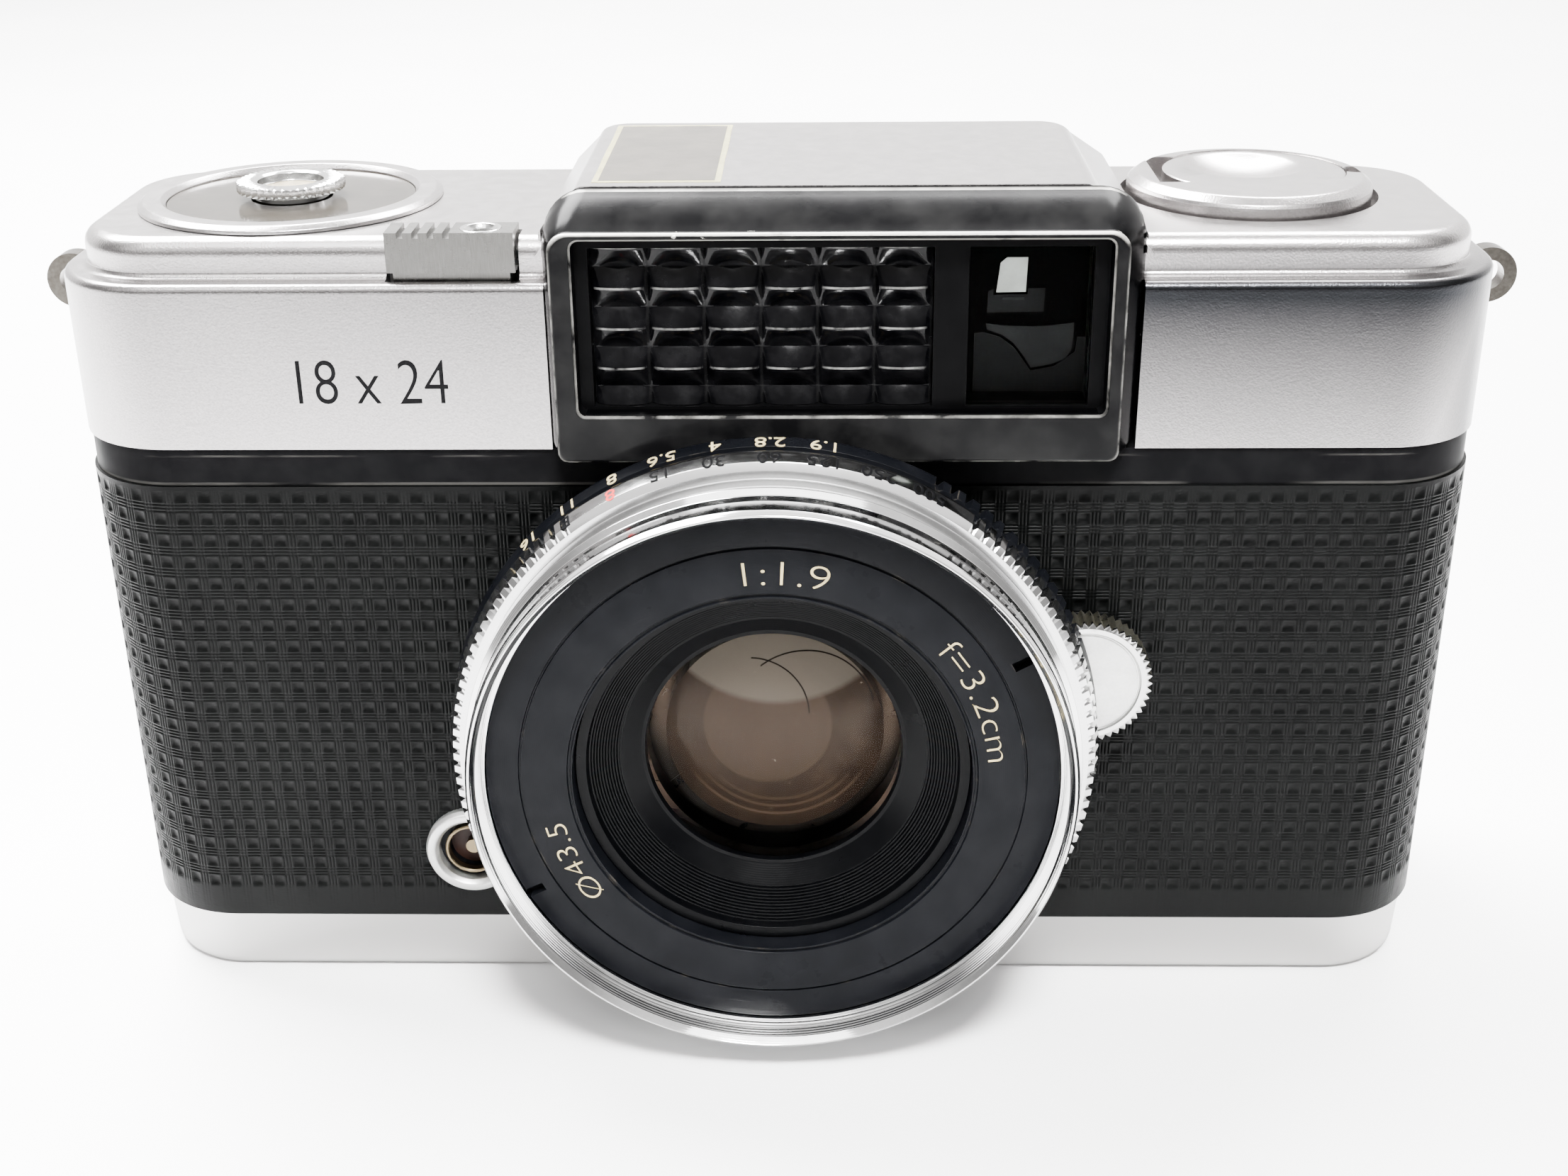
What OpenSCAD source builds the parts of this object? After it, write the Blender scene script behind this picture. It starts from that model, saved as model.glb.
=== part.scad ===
// Half frame 35 mm camera with an uncoupled selenium meter, in millimetres.
// The origin is the mouth of the tripod socket: +Z is up and the lens looks along -Y.

/* [Body] */
// Width of the body without the strap lugs
body_w = 105.7; // [104:0.1:108]
// Depth of the body without the lens
body_d = 29; // [28.8:0.1:31]
// Radius of the body's corners, seen from above
corner_r = 8.1; // [7:0.1:9]
// Height of the bottom cover
base_h = 5.5; // [5:0.1:6]
// Height at which the leatherette ends
leather_top = 43.5; // [43:0.1:44]
// Height of the seam under the top cover
cover_z = 46.3; // [46:0.1:46.8]
// Height of the top cover's shoulder
shoulder_z = 58.7; // [58:0.1:59.2]
// Height of the top cover's flat top
top_z = 61.6; // [61:0.1:62]
// Height of the meter hump
hump_z = 65.3; // [64.8:0.1:66]
// How far the upper tier stands in from the front and the ends
tier_inset = 1.4; // [1:0.1:2]

/* [Lens] */
// Height of the optical axis
lens_z = 24.6; // [24.5:0.1:26]
// How far the filter ring stands ahead of the body
lens_reach = 13.3; // [13:0.1:14]
// Minor radius of the filter thread
filter_r = 21.34; // [21:0.01:21.4]
// Radius of the aperture ring
aperture_ring_r = 24.3; // [24:0.1:24.4]
// Radius over the speed ring's teeth
speed_ring_r = 24.1; // [24:0.1:24.3]
// Teeth round the whole of the speed ring
speed_teeth = 144; // [120:4:160]
// Radius of the focusing knob
focus_knob_r = 5; // [4:0.1:5.2]
// Angle of the focusing knob above the horizontal
focus_knob_angle = 11; // [5:1:20]

/* [Meter and finder window] */
// How far the black window frame stands ahead of the body
frame_reach = 3.1; // [2.8:0.1:3.4]
// Left end of the window frame
frame_x0 = -16.1; // [-17:0.1:-15]
// Right end of the window frame
frame_x1 = 26.4; // [26:0.1:27]
// Bottom of the window frame
frame_z0 = 47.2; // [47:0.1:47.6]

/* [Interfaces] */
// Minor radius of the 1/4 inch tripod thread
tripod_r = 2.6; // [2.5:0.05:2.6]
// Minor radius of the cable release socket
cable_r = 1.5; // [1.4:0.05:1.6]

/* [Controls] */
// Radius of the frame counter's bezel
counter_r = 11.5; // [11:0.1:12]
// Radius of the rewind knob
rewind_r = 9.2; // [9:0.1:9.6]
// Radius of the film advance wheel
advance_r = 14.2; // [14:0.1:14.3]
// Length of the release bar
release_w = 9.2; // [9:0.1:10]

/* [Film path] */
// Radius of the film cassette's chamber
cassette_r = 12.65; // [12.6:0.01:12.7]
// Width of the half frame gate
gate_w = 18; // [17:0.5:18]
// Height of the half frame gate
gate_h = 24; // [23:0.5:24]

/* [Hidden] */
$fn = 96;
front = -body_d / 2;
back = body_d / 2;
side = body_w / 2;
cut = 1;                     // how far a cutter runs past a face
wall = 0.9;                  // brass sheet of the covers
skin = 0.5;                  // leatherette
split_y = 6.5;               // where the front shell meets the back
back_in = back - 1.05;       // inside of the back panel
counter_x = -37.2;
counter_y = -0.2;
advance_x = -37.2;
advance_y = 1.6;
rewind_x = 36.2;
rewind_y = 0.8;
sprocket_x = -20.6;
sprocket_y = 4.2;
gear_distance = norm([sprocket_x - advance_x, sprocket_y - advance_y]);
gear_angle = atan2(sprocket_y - advance_y, sprocket_x - advance_x);
wheel_teeth = 34;
pinion_teeth = 17;
gear_module = 2 * gear_distance / (wheel_teeth + pinion_teeth);
release_x = -22.8;
release_y = front + 2.5;
cable_x = -20.7;
finder_x0 = 13.9;
finder_x1 = 22.6;
window_z0 = 50.1;
window_z1 = 61.7;
cell_x0 = -12.7;
cell_x1 = 11.5;
recess_reach = 1.5;          // floor of the window frame's recess
lug_out = 1.9;                // from the body's end to the lug's hole
cover_screw_y = -0.5;
cover_screw_z = 48.1;
meter_x = 4;
meter_y = -1;
pc_x = -24.6;
pc_z = 12.1;
key_x = 36.2;
key_r = 8.5;
button_x = sprocket_x;
button_y = sprocket_y;
knob_orbit = 23.7;           // from the optical axis to the focusing knob's centre
knob_x = knob_orbit * cos(focus_knob_angle);
knob_z = lens_z + knob_orbit * sin(focus_knob_angle);
blade_pivot_r = 12.3;
blade_rest = 4.3;            // how far the aperture blades are closed at rest
blade_pitch = 0.16;
run = 0.05;                  // running clearance on a radius

silver = [0.78, 0.78, 0.78];
chrome = [0.88, 0.88, 0.9];
black = [0.06, 0.06, 0.06];
dark = [0.16, 0.16, 0.17];
clear = [0.6, 0.65, 0.7];

// ---------- shared shapes ----------

// Rounded rectangle: w by d, corner radius r, centred
module rounded(w, d, r) {
    square([w - 2 * r, d], center = true);
    square([w, d - 2 * r], center = true);
    for (sx = [-1, 1], sy = [-1, 1])
        translate([sx * (w / 2 - r), sy * (d / 2 - r)])
            circle(r = r);
}

// The body's plan, drawn in by an inset, between two heights
module slab(z0, z1, inset) {
    translate([0, 0, z0])
        linear_extrude(z1 - z0)
            rounded(body_w - 2 * inset, body_d - 2 * inset, corner_r - inset);
}

// The upper tier's plan: it stands in further at the back
module tier(z0, z1, inset) {
    depth = body_d - tier_inset - 2;
    translate([0, -(2 - tier_inset) / 2, z0])
        linear_extrude(z1 - z0)
            rounded(body_w - 2 * tier_inset - 2 * inset, depth - 2 * inset,
                corner_r - tier_inset - inset);
}

// A box from one corner to the other
module block(low, high) {
    translate(low)
        cube(high - low);
}

// A vertical post
module post(x, y, z0, z1, r) {
    translate([x, y, z0])
        cylinder(h = z1 - z0, r = r);
}

// Turns a shape drawn upwards to look ahead along the optical axis
module on_lens_axis() {
    translate([0, 0, lens_z])
        rotate([90, 0, 0])
            children();
}

// A turned part on the optical axis: points are [radius, distance ahead of the body]
module turned(points) {
    on_lens_axis()
        rotate_extrude()
            polygon([for (p = points) [p[0], p[1] - front]]);
}

// A plain disc or bore on an axis that looks ahead
module ahead(x, z, d0, d1, r) {
    translate([x, front - d0, z])
        rotate([90, 0, 0])
            cylinder(h = d1 - d0, r = r);
}

// Outline of a gear with straight-flanked teeth
function gear_outline(teeth, turn) = let (
        pitch_r = teeth * gear_module / 2,
        root_r = pitch_r - 0.85 * gear_module,
        tip_r = pitch_r + 0.62 * gear_module,
        step = 360 / teeth)
    [for (i = [0 : teeth - 1], p = [[root_r, -0.34], [tip_r, -0.11], [tip_r, 0.11], [root_r, 0.34]])
        p[0] * [cos(turn + step * (i + p[1])), sin(turn + step * (i + p[1]))]];

// Outline of a knurled rim with pointed teeth
function knurl_outline(r_root, r_tip, teeth) =
    [for (i = [0 : 2 * teeth - 1]) let (r = i % 2 == 0 ? r_tip : r_root)
        r * [cos(180 * i / teeth), sin(180 * i / teeth)]];

// ---------- body shell ----------

module casting_outside() {
    intersection() {
        union() {
            slab(base_h + 0.1, leather_top, skin + 0.1);
            slab(leather_top - 0.1, cover_z - 0.05, 0.24);
        }
        block([-side, front - cut, 0], [side, split_y - 0.1, hump_z]);
    }
    intersection() {
        slab(base_h + 0.1, cover_z - 0.05, 1.2);
        block([-side, split_y - cut, 0], [side, back - 3.1, hump_z]);
    }
}

module main_casting() {
    color(black)
        difference() {
            casting_outside();
            // cassette chamber, open to the back and below
            post(rewind_x, rewind_y, -cut, leather_top, cassette_r);
            block([rewind_x - cassette_r, rewind_y, -cut],
                [rewind_x + cassette_r, back, leather_top]);
            // take-up chamber
            post(advance_x, advance_y, -cut, leather_top, 11);
            block([advance_x - 11, advance_y, -cut], [advance_x + 11, back, leather_top]);
            // sprocket chamber
            post(sprocket_x, sprocket_y, -cut, leather_top, 7.2);
            block([sprocket_x - 7.2, sprocket_y, -cut], [-13.3, back, leather_top]);
            // dark chamber behind the lens, and the film gate
            block([-12, front + 2.2, 8], [12, 9, 41.5]);
            block([-gate_w / 2, 0, lens_z - gate_h / 2], [gate_w / 2, back, lens_z + gate_h / 2]);
            ahead(0, lens_z, -9, cut, 16.3);
            // space behind the lens mount on the right
            block([12, front + 2.2, 8], [21, 6, 41.5]);
            // shaft holes in the top deck
            post(advance_x, advance_y, leather_top - cut, cover_z, 2 + run);
            post(sprocket_x, sprocket_y, leather_top - cut, cover_z, 1.5 + run);
            post(rewind_x, rewind_y, leather_top - cut, cover_z, 2.9 + run);
            // seat of the flash socket
            ahead(pc_x, pc_z, -3.2, cut, 2.9);
            // lens mount screws
            for (a = [45 : 90 : 315])
                ahead(20 * cos(a), lens_z + 20 * sin(a), -3, cut, 0.8);
        }
    // pillars that take the cover's screws
    color(black)
        for (sx = [-1, 1])
            difference() {
                translate([sx * (side - wall - 1.45), cover_screw_y, cover_z - 0.05])
                    translate([-1.3, -2.5, 0])
                        cube([2.6, 5, 3.6]);
                cover_screw_hole(sx, 0.6);
            }
}

// Bore or shank of a cover screw at one end of the body
module cover_screw_hole(sx, r) {
    translate([sx * (side + cut), cover_screw_y, cover_screw_z])
        rotate([0, -sx * 90, 0])
            cylinder(h = 4.5, r = r);
}

module hump_outline(drop) {
    polygon([[-15.8 + drop, top_z - 2], [-15.8 + drop, top_z], [-13.8 + drop, hump_z - drop],
        [22.7 - drop, hump_z - drop], [26.1 - drop, top_z], [26.1 - drop, top_z - 2]]);
}

module hump(drop) {
    intersection() {
        translate([0, 11.5 - drop, 0])
            rotate([90, 0, 0])
                linear_extrude(11.5 - 2 * drop - front)
                    hump_outline(drop);
        translate([-side, 0, 0])
            rotate([90, 0, 90])
                linear_extrude(body_w)
                    polygon([[front - cut, top_z - 3], [11.4 - drop, top_z - 3], [11.4 - drop, top_z],
                        [10 - drop, hump_z - drop], [front - cut, hump_z - drop]]);
    }
}

module cover_inside() {
    slab(cover_z - cut, shoulder_z - wall, wall);
    tier(cover_z, top_z - wall, wall);
    hump(wall);
}

module top_cover() {
    color(silver)
        difference() {
            union() {
                slab(cover_z, shoulder_z, 0);
                tier(shoulder_z - 0.5, top_z, 0);
                hump(0);
            }
            cover_inside();
            // the black frame fills the front of the hump
            block([frame_x0 - 0.05, front - cut, cover_z - cut],
                [frame_x1 + 0.05, front + 1.8, hump_z + cut]);
            // meter window
            block([-12.3, -11.3, top_z], [-3.9, 8, hump_z + cut]);
            // counter, rewind knob and release bar
            post(counter_x, counter_y, top_z - 2, top_z + cut, 10.6);
            post(rewind_x, rewind_y, top_z - 1.6, top_z + cut, rewind_r + 0.5);
            block([release_x - release_w / 2 - 0.2, front + wall - 0.05, shoulder_z - 3],
                [release_x + release_w / 2 + 0.2, front + 4.4, top_z + cut]);
            // slot for the advance wheel and window for the eyepiece
            block([advance_x - 12.5, 8, 49.6], [advance_x + 12.5, back + cut, 55.4]);
            block([14.6, back - 3, 54.2], [21.2, back + cut, 60]);
            // strap lugs and cover screws
            translate([0, -0.5, 55.5])
                rotate([0, 90, 0])
                    cylinder(h = body_w + 2 * cut, r = 1.2 + run, center = true);
            for (sx = [-1, 1])
                cover_screw_hole(sx, 0.7);
        }
    // shelf under the rewind knob
    color(silver)
        difference() {
            post(rewind_x, rewind_y, top_z - 2.4, top_z - 1.6, rewind_r + 1.2);
            post(rewind_x, rewind_y, top_z - 3, top_z, 1.9 + run);
        }
}

module cover_screws() {
    color(chrome)
        for (sx = [-1, 1])
            difference() {
                translate([sx * side, cover_screw_y, cover_screw_z])
                    rotate([0, sx * 90, 0]) {
                        translate([0, 0, -3])
                            cylinder(h = 3.2, r = 0.55);
                        cylinder(h = 0.5, r = 1.4);
                    }
                // slot
                translate([sx * (side + 0.75), cover_screw_y, cover_screw_z])
                    cube([1, 0.4, 4], center = true);
            }
}

module strap_lugs() {
    color(chrome)
        for (sx = [-1, 1])
            difference() {
                union() {
                    translate([sx * (side + lug_out), 0.3, 55.5])
                        rotate([90, 0, 0])
                            cylinder(h = 1.6, r = 2.15);
                    translate([sx * (side - 1.2), -0.5, 55.5])
                        rotate([0, sx * 90, 0])
                            cylinder(h = 1.8, r = 1.2);
                }
                translate([sx * (side + lug_out), 1, 55.5])
                    rotate([90, 0, 0])
                        cylinder(h = 4, r = 1.15);
            }
}

// A strip of skin round the body's plan between two insets
module skin_strip(z0, z1, outer, inner) {
    difference() {
        slab(z0, z1, outer);
        slab(z0 - cut, z1 + cut, inner);
    }
}

module front_leatherette() {
    color(dark)
        difference() {
            intersection() {
                skin_strip(base_h + 0.2, leather_top - 0.15, 0, skin);
                block([-side, front - cut, 0], [side, split_y - 0.1, hump_z]);
            }
            ahead(0, lens_z, -2, cut, 22.5);
            ahead(pc_x, pc_z, -2, cut, 3.9);
        }
}

// ---------- back and bottom, which slide off together ----------

module bottom_cover() {
    color(silver)
        difference() {
            slab(0, base_h, 0.6);
            slab(1, base_h + cut, 0.6 + wall);
            post(0, 0, -cut, 2, 4.5);
            post(key_x, 0, -cut, 2, key_r + 0.1);
            post(button_x, button_y, -cut, 2, 2.6 + run);
        }
    // boss that carries the key's post
    color(silver)
        difference() {
            post(key_x, 0, 1.2, 2, key_r + 1.5);
            post(key_x, 0, 0, 3, 2 + run);
        }
}

module back_panel() {
    color(black)
        difference() {
            intersection() {
                skin_strip(base_h, cover_z - 0.1, skin, skin + 0.55);
                block([-side, split_y, 0], [side, back + cut, hump_z]);
            }
        }
}

module back_leatherette() {
    color(dark)
        intersection() {
            skin_strip(base_h + 0.2, leather_top - 0.15, 0.02, skin);
            block([-side, split_y + 0.1, 0], [side, back + cut, hump_z]);
        }
}

module pressure_plate() {
    color(black)
        difference() {
            block([-14, back_in - 1.6, 7.5], [14, back_in - 0.9, 41.7]);
            for (sx = [-1, 1])
                translate([sx * 10, back_in, lens_z])
                    rotate([90, 0, 0])
                        cylinder(h = 4, r = 1.2);
        }
    // rivets to the back panel
    color(chrome)
        for (sx = [-1, 1])
            translate([sx * 10, back_in, lens_z])
                rotate([90, 0, 0]) {
                    cylinder(h = 1.7, r = 1.1);
                    translate([0, 0, 1.65])
                        cylinder(h = 0.35, r = 1.7);
                }
}

module tripod_socket() {
    color(chrome)
        difference() {
            union() {
                post(0, 0, 0, 5.4, 4.45);
                post(0, 0, 1.05, 2, 6.5);
            }
            post(0, 0, -cut, 4.9, tripod_r);
        }
}

module lock_key() {
    color(chrome)
        difference() {
            union() {
                post(key_x, 0, 0.15, 1.15, key_r);
                post(key_x, 0, 1.1, 4, 2);
                // bolt that turns under the casting's catch
                block([key_x, -1.5, 3], [key_x + 6, 1.5, 4]);
            }
            // recess for the folding handle
            intersection() {
                post(key_x, 0, -cut, 0.75, key_r - 1.2);
                block([key_x - 10, -10, -cut], [key_x + 10, 0.35, 1]);
            }
            post(key_x, 4.6, -cut, 0.75, 0.7);
        }
}

module lock_handle() {
    color(chrome)
        difference() {
            intersection() {
                post(key_x, 0, 0.18, 0.7, key_r - 1.35);
                block([key_x - 10, -10, 0], [key_x + 10, 0.2, 1]);
            }
            post(key_x, 0, -cut, 2, 3.4);
        }
}

module rewind_button() {
    color(chrome) {
        post(button_x, button_y, 0.25, 3.2, 2.6);
        post(button_x, button_y, 1.05, 1.5, 3.2);
    }
}

// ---------- window frame, meter and finder ----------

module window_frame() {
    color(black)
        difference() {
            // side profile: flat front, sloping top that meets the hump
            translate([frame_x0, 0, 0])
                rotate([90, 0, 90])
                    linear_extrude(frame_x1 - frame_x0)
                        polygon([[front + 1.7, cover_z + 0.05], [front, cover_z + 0.05],
                            [front, frame_z0], [front - frame_reach, frame_z0],
                            [front - frame_reach, 62.9], [front - frame_reach + 0.7, 63.6],
                            [front + 1.7, hump_z]]);
            // sloping ends
            for (sx = [-1, 1])
                translate([sx > 0 ? frame_x1 : frame_x0, front - frame_reach, 0])
                    rotate([0, 0, sx * 64])
                        block([-5, -2.6, frame_z0 - cut], [5, 0, hump_z + cut]);
            // slanting shoulders that follow the hump
            translate([0, back, 0])
                rotate([90, 0, 0])
                    linear_extrude(body_d + 10)
                        polygon([[frame_x1 - 3.4, hump_z + 0.1], [frame_x1 + 0.3, top_z],
                            [frame_x1 + 5, top_z], [frame_x1 + 5, hump_z + 2]]);
            translate([0, back, 0])
                rotate([90, 0, 0])
                    linear_extrude(body_d + 10)
                        polygon([[frame_x0 + 2.2, hump_z + 0.1], [frame_x0 - 0.2, top_z],
                            [frame_x0 - 5, top_z], [frame_x0 - 5, hump_z + 2]]);
            // recess, and the two windows through its floor
            block([-13.6, front - frame_reach - cut, 49.8], [23.9, front - recess_reach, 62.4]);
            block([cell_x0, front - frame_reach, window_z0], [cell_x1, front + 3, window_z1]);
            block([finder_x0, front - frame_reach, window_z0], [finder_x1, front + 3, window_z1]);
        }
}

module selenium_window() {
    color(dark)
        block([cell_x0 + 0.05, front - 1.4, window_z0 + 0.05],
            [cell_x1 - 0.05, front + 0.4, window_z1 - 0.05]);
}

module selenium_cell() {
    color([0.2, 0.16, 0.14])
        block([cell_x0 + 0.3, front + 0.5, window_z0 + 0.3],
            [cell_x1 - 0.3, front + 1.5, window_z1 - 0.3]);
}

module finder_window() {
    color(clear)
        block([finder_x0 + 0.05, front - 1.2, window_z0 + 0.05],
            [finder_x1 - 0.05, front - 0.4, window_z1 - 0.05]);
}

module finder_tunnel() {
    color(black)
        difference() {
            block([finder_x0 - 0.6, front + 2.4, window_z0 - 0.6],
                [finder_x1 + 0.6, back - 4.4, 60.5]);
            block([finder_x0 + 0.3, front, window_z0 + 0.4],
                [finder_x1 - 0.3, back - 5.5, 59.7]);
            block([15.4, 0, 55], [20.6, back, 59.4]);
        }
}

module finder_eyepiece() {
    color(clear)
        difference() {
            block([14.7, back - 4.3, 54.3], [21.1, back - 1.2, 59.9]);
            translate([17.9, back + 9.4, 57.1])
                sphere(r = 11);
        }
}

module meter_window() {
    color(clear)
        block([-12.25, -11.25, hump_z - 0.8], [-3.95, 7.95, hump_z + 0.05]);
}

module meter_movement() {
    color([0.55, 0.52, 0.45]) {
        difference() {
            post(meter_x, meter_y, 52, 61.2, 6.5);
            post(meter_x, meter_y, 58, 62, 2.2);
        }
        // scale plate under the window
        block([-12.2, -11, 61.2], [2.4, 7.7, 61.6]);
    }
}

module meter_needle() {
    color("red")
        translate([meter_x, meter_y, 0])
            rotate([0, 0, 24]) {
                post(0, 0, 58.4, 62.6, 0.9);
                block([-14.5, -0.15, 62.2], [0, 0.15, 62.5]);
                // balance weight
                block([0, -0.6, 62.1], [2.4, 0.6, 62.6]);
            }
}

// ---------- frame counter ----------

module counter_bezel() {
    color(silver)
        translate([counter_x, counter_y, 0])
            rotate_extrude()
                polygon([[9.4, top_z - 0.6], [10.5, top_z - 0.6], [10.5, top_z + 0.05],
                    [counter_r, top_z + 0.05], [counter_r, top_z + 0.25], [counter_r - 0.4, top_z + 0.6],
                    [9.9, top_z + 0.6], [9.4, top_z + 0.3]]);
}

module counter_window() {
    color(clear)
        difference() {
            post(counter_x, counter_y, top_z - 0.5, top_z + 0.15, 9.35);
            post(counter_x, counter_y, top_z - 2, top_z + 2, 3.1);
        }
}

module counter_dial() {
    color([0.8, 0.8, 0.8])
        difference() {
            post(counter_x, counter_y, top_z - 1.6, top_z - 1.1, 9.1);
            post(counter_x, counter_y, top_z - 3, top_z, 1.52);
        }
}

module counter_knob() {
    color(chrome)
        translate([counter_x, counter_y, 0])
            difference() {
                union() {
                    translate([0, 0, top_z + 0.8])
                        linear_extrude(0.8)
                            polygon(knurl_outline(3.85, 4.1, 48));
                    translate([0, 0, top_z - 1.1])
                        cylinder(h = 2, r = 2.9);
                    translate([0, 0, 57])
                        cylinder(h = 4, r = 1.5);
                }
                translate([0, 0, top_z + 0.9])
                    cylinder(h = 1.6, r = 2.5);
            }
}

// ---------- release ----------

module release_bar() {
    color(chrome)
        difference() {
            union() {
                block([release_x - release_w / 2, front + wall + 0.1, 59.3],
                    [release_x + release_w / 2, front + 4.1, top_z + 0.6]);
                block([release_x - release_w / 2 + 0.4, front + wall + 0.3, 57.6],
                    [release_x + release_w / 2 - 0.4, front + 3.8, 59.4]);
            }
            // grooves for the finger
            for (i = [0 : 3])
                block([release_x - 3.7 + i * 1.1, front, top_z + 0.2],
                    [release_x - 3.25 + i * 1.1, front + 5, top_z + cut]);
            // cable release socket
            post(cable_x, release_y, 59.6, top_z + cut, cable_r);
            post(cable_x, release_y, 57, 60, 0.6);
        }
}

module release_plunger() {
    color(chrome) {
        post(cable_x, release_y, 48.6, 57.5, 0.9);
        post(cable_x, release_y, 56.4, 57.5, 1.5);
    }
}

module release_spring() {
    color(dark)
        difference() {
            post(cable_x, release_y, 49.5, 56.3, 1.5);
            post(cable_x, release_y, 49, 57, 1.1);
        }
}

// ---------- film transport ----------

module advance_wheel() {
    color(black) {
        translate([advance_x, advance_y, 50.2])
            linear_extrude(4.4)
                polygon(knurl_outline(advance_r - 0.7, advance_r, 72));
        post(advance_x, advance_y, 40.5, 55.4, 2);
    }
}

module advance_gear() {
    color("goldenrod")
        translate([advance_x, advance_y, 46.8])
            difference() {
                linear_extrude(1.4)
                    polygon(gear_outline(wheel_teeth, gear_angle));
                translate([0, 0, -cut])
                    cylinder(h = 4, r = 2.02);
            }
}

module takeup_spool() {
    color(black)
        difference() {
            union() {
                post(advance_x, advance_y, 6.4, 43, 6.5);
                post(advance_x, advance_y, 6.4, 7.4, 10);
                post(advance_x, advance_y, 42, 43, 10);
            }
            post(advance_x, advance_y, 40, 44, 2 + run);
            post(advance_x, advance_y, 5, 39, 5.3);
            block([advance_x, advance_y - 0.6, 15], [advance_x + 8, advance_y + 0.6, 34]);
        }
}

module sprocket() {
    color(black)
        difference() {
            union() {
                post(sprocket_x, sprocket_y, 5.8, 43, 4.6);
                for (z = [lens_z - 15.6, lens_z + 12.6])
                    translate([0, 0, z]) {
                        post(sprocket_x, sprocket_y, 0, 3, 5.6);
                        translate([sprocket_x, sprocket_y, 0.9])
                            for (i = [0 : 7])
                                rotate([0, 0, 45 * i])
                                    block([5, -0.7, 0], [6.7, 0.7, 1.2]);
                    }
                post(sprocket_x, sprocket_y, 42, 49.4, 1.5);
                translate([sprocket_x, sprocket_y, 46.8])
                    linear_extrude(1.4)
                        polygon(gear_outline(pinion_teeth, gear_angle + 180 + 180 / pinion_teeth));
            }
            post(sprocket_x, sprocket_y, 5, 8, 2.4);
        }
}

module rewind_knob() {
    color(silver)
        difference() {
            translate([rewind_x, rewind_y, 0])
                rotate_extrude()
                    polygon([[0, top_z - 1.4], [rewind_r, top_z - 1.4], [rewind_r, top_z + 0.9],
                        [rewind_r - 0.9, top_z + 1.5], [0, top_z + 1.5]]);
            // bed of the folding crank, with a notch for the fingernail
            post(rewind_x + 0.6, rewind_y, top_z - 0.2, top_z + 3, 5.9);
            block([rewind_x + 4, rewind_y - 1, top_z - 0.2], [rewind_x + rewind_r + 1, rewind_y + 1, top_z + 3]);
            block([rewind_x - 7.2, rewind_y - 3, top_z - 0.2], [rewind_x - 3, rewind_y + 3, top_z + 3]);
            // holes of the crank's pivots
            translate([rewind_x - 6, rewind_y + 4, top_z + 0.7])
                rotate([90, 0, 0])
                    cylinder(h = 8, r = 0.45 + run);
        }
}

module rewind_crank() {
    color(chrome)
        difference() {
            union() {
                intersection() {
                    post(rewind_x + 0.6, rewind_y, top_z - 0.05, top_z + 1.4, 5.7);
                    block([rewind_x - 7, rewind_y - 10, 0], [rewind_x + 10, rewind_y + 10, hump_z + 5]);
                }
                block([rewind_x - 6, rewind_y - 2.7, top_z], [rewind_x - 3, rewind_y + 2.7, top_z + 1.4]);
                translate([rewind_x - 6, rewind_y + 2.8, top_z + 0.7])
                    rotate([90, 0, 0])
                        cylinder(h = 5.6, r = 0.7);
                translate([rewind_x - 6, rewind_y + 3.8, top_z + 0.7])
                    rotate([90, 0, 0])
                        cylinder(h = 7.6, r = 0.45);
            }
            // dished top
            translate([rewind_x + 0.6, rewind_y, top_z + 1.4 + 16.9])
                sphere(r = 17.8);
        }
}

module rewind_shaft() {
    color(chrome)
        difference() {
            union() {
                post(rewind_x, rewind_y, 46, top_z - 1.4, 1.9);
                post(rewind_x, rewind_y, 37, 46.2, 2.9);
            }
            // fork
            block([rewind_x - 4, rewind_y - 0.9, 36], [rewind_x + 4, rewind_y + 0.9, 40.5]);
            // groove of the collar
            difference() {
                post(rewind_x, rewind_y, 52, 53.2, 2.5);
                post(rewind_x, rewind_y, 51, 54, 1.4);
            }
        }
}

module rewind_collar() {
    color(dark)
        difference() {
            post(rewind_x, rewind_y, 52.1, 53.1, 3.8);
            post(rewind_x, rewind_y, 51, 54, 1.4 + run);
        }
}

// ---------- flash socket ----------

module pc_socket_shell() {
    color(chrome)
        difference() {
            union() {
                ahead(pc_x, pc_z, -3, 0.2, 2.85);
                ahead(pc_x, pc_z, -0.45, 1, 3.8);
            }
            ahead(pc_x, pc_z, -4, 2, 1.9);
        }
}

module pc_socket_insulator() {
    color([0.35, 0.2, 0.12])
        difference() {
            ahead(pc_x, pc_z, -3, -1, 1.88);
            ahead(pc_x, pc_z, -4, 2, 0.62);
        }
}

module pc_socket_pin() {
    color(chrome)
        ahead(pc_x, pc_z, -3.2, -0.2, 0.6);
}

// ---------- lens ----------

module lens_mount() {
    color(black)
        difference() {
            turned([[15, -6], [16.2, -6], [16.2, 0], [22.4, 0], [22.4, 0.9], [16.2, 0.9], [16.2, 4.1],
                [15, 4.1]]);
            for (a = [45 : 90 : 315])
                ahead(20 * cos(a), lens_z + 20 * sin(a), -1, 2, 0.8);
        }
    color(chrome)
        for (a = [45 : 90 : 315]) {
            ahead(20 * cos(a), lens_z + 20 * sin(a), -2.5, 0.9, 0.75);
        }
}

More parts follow.
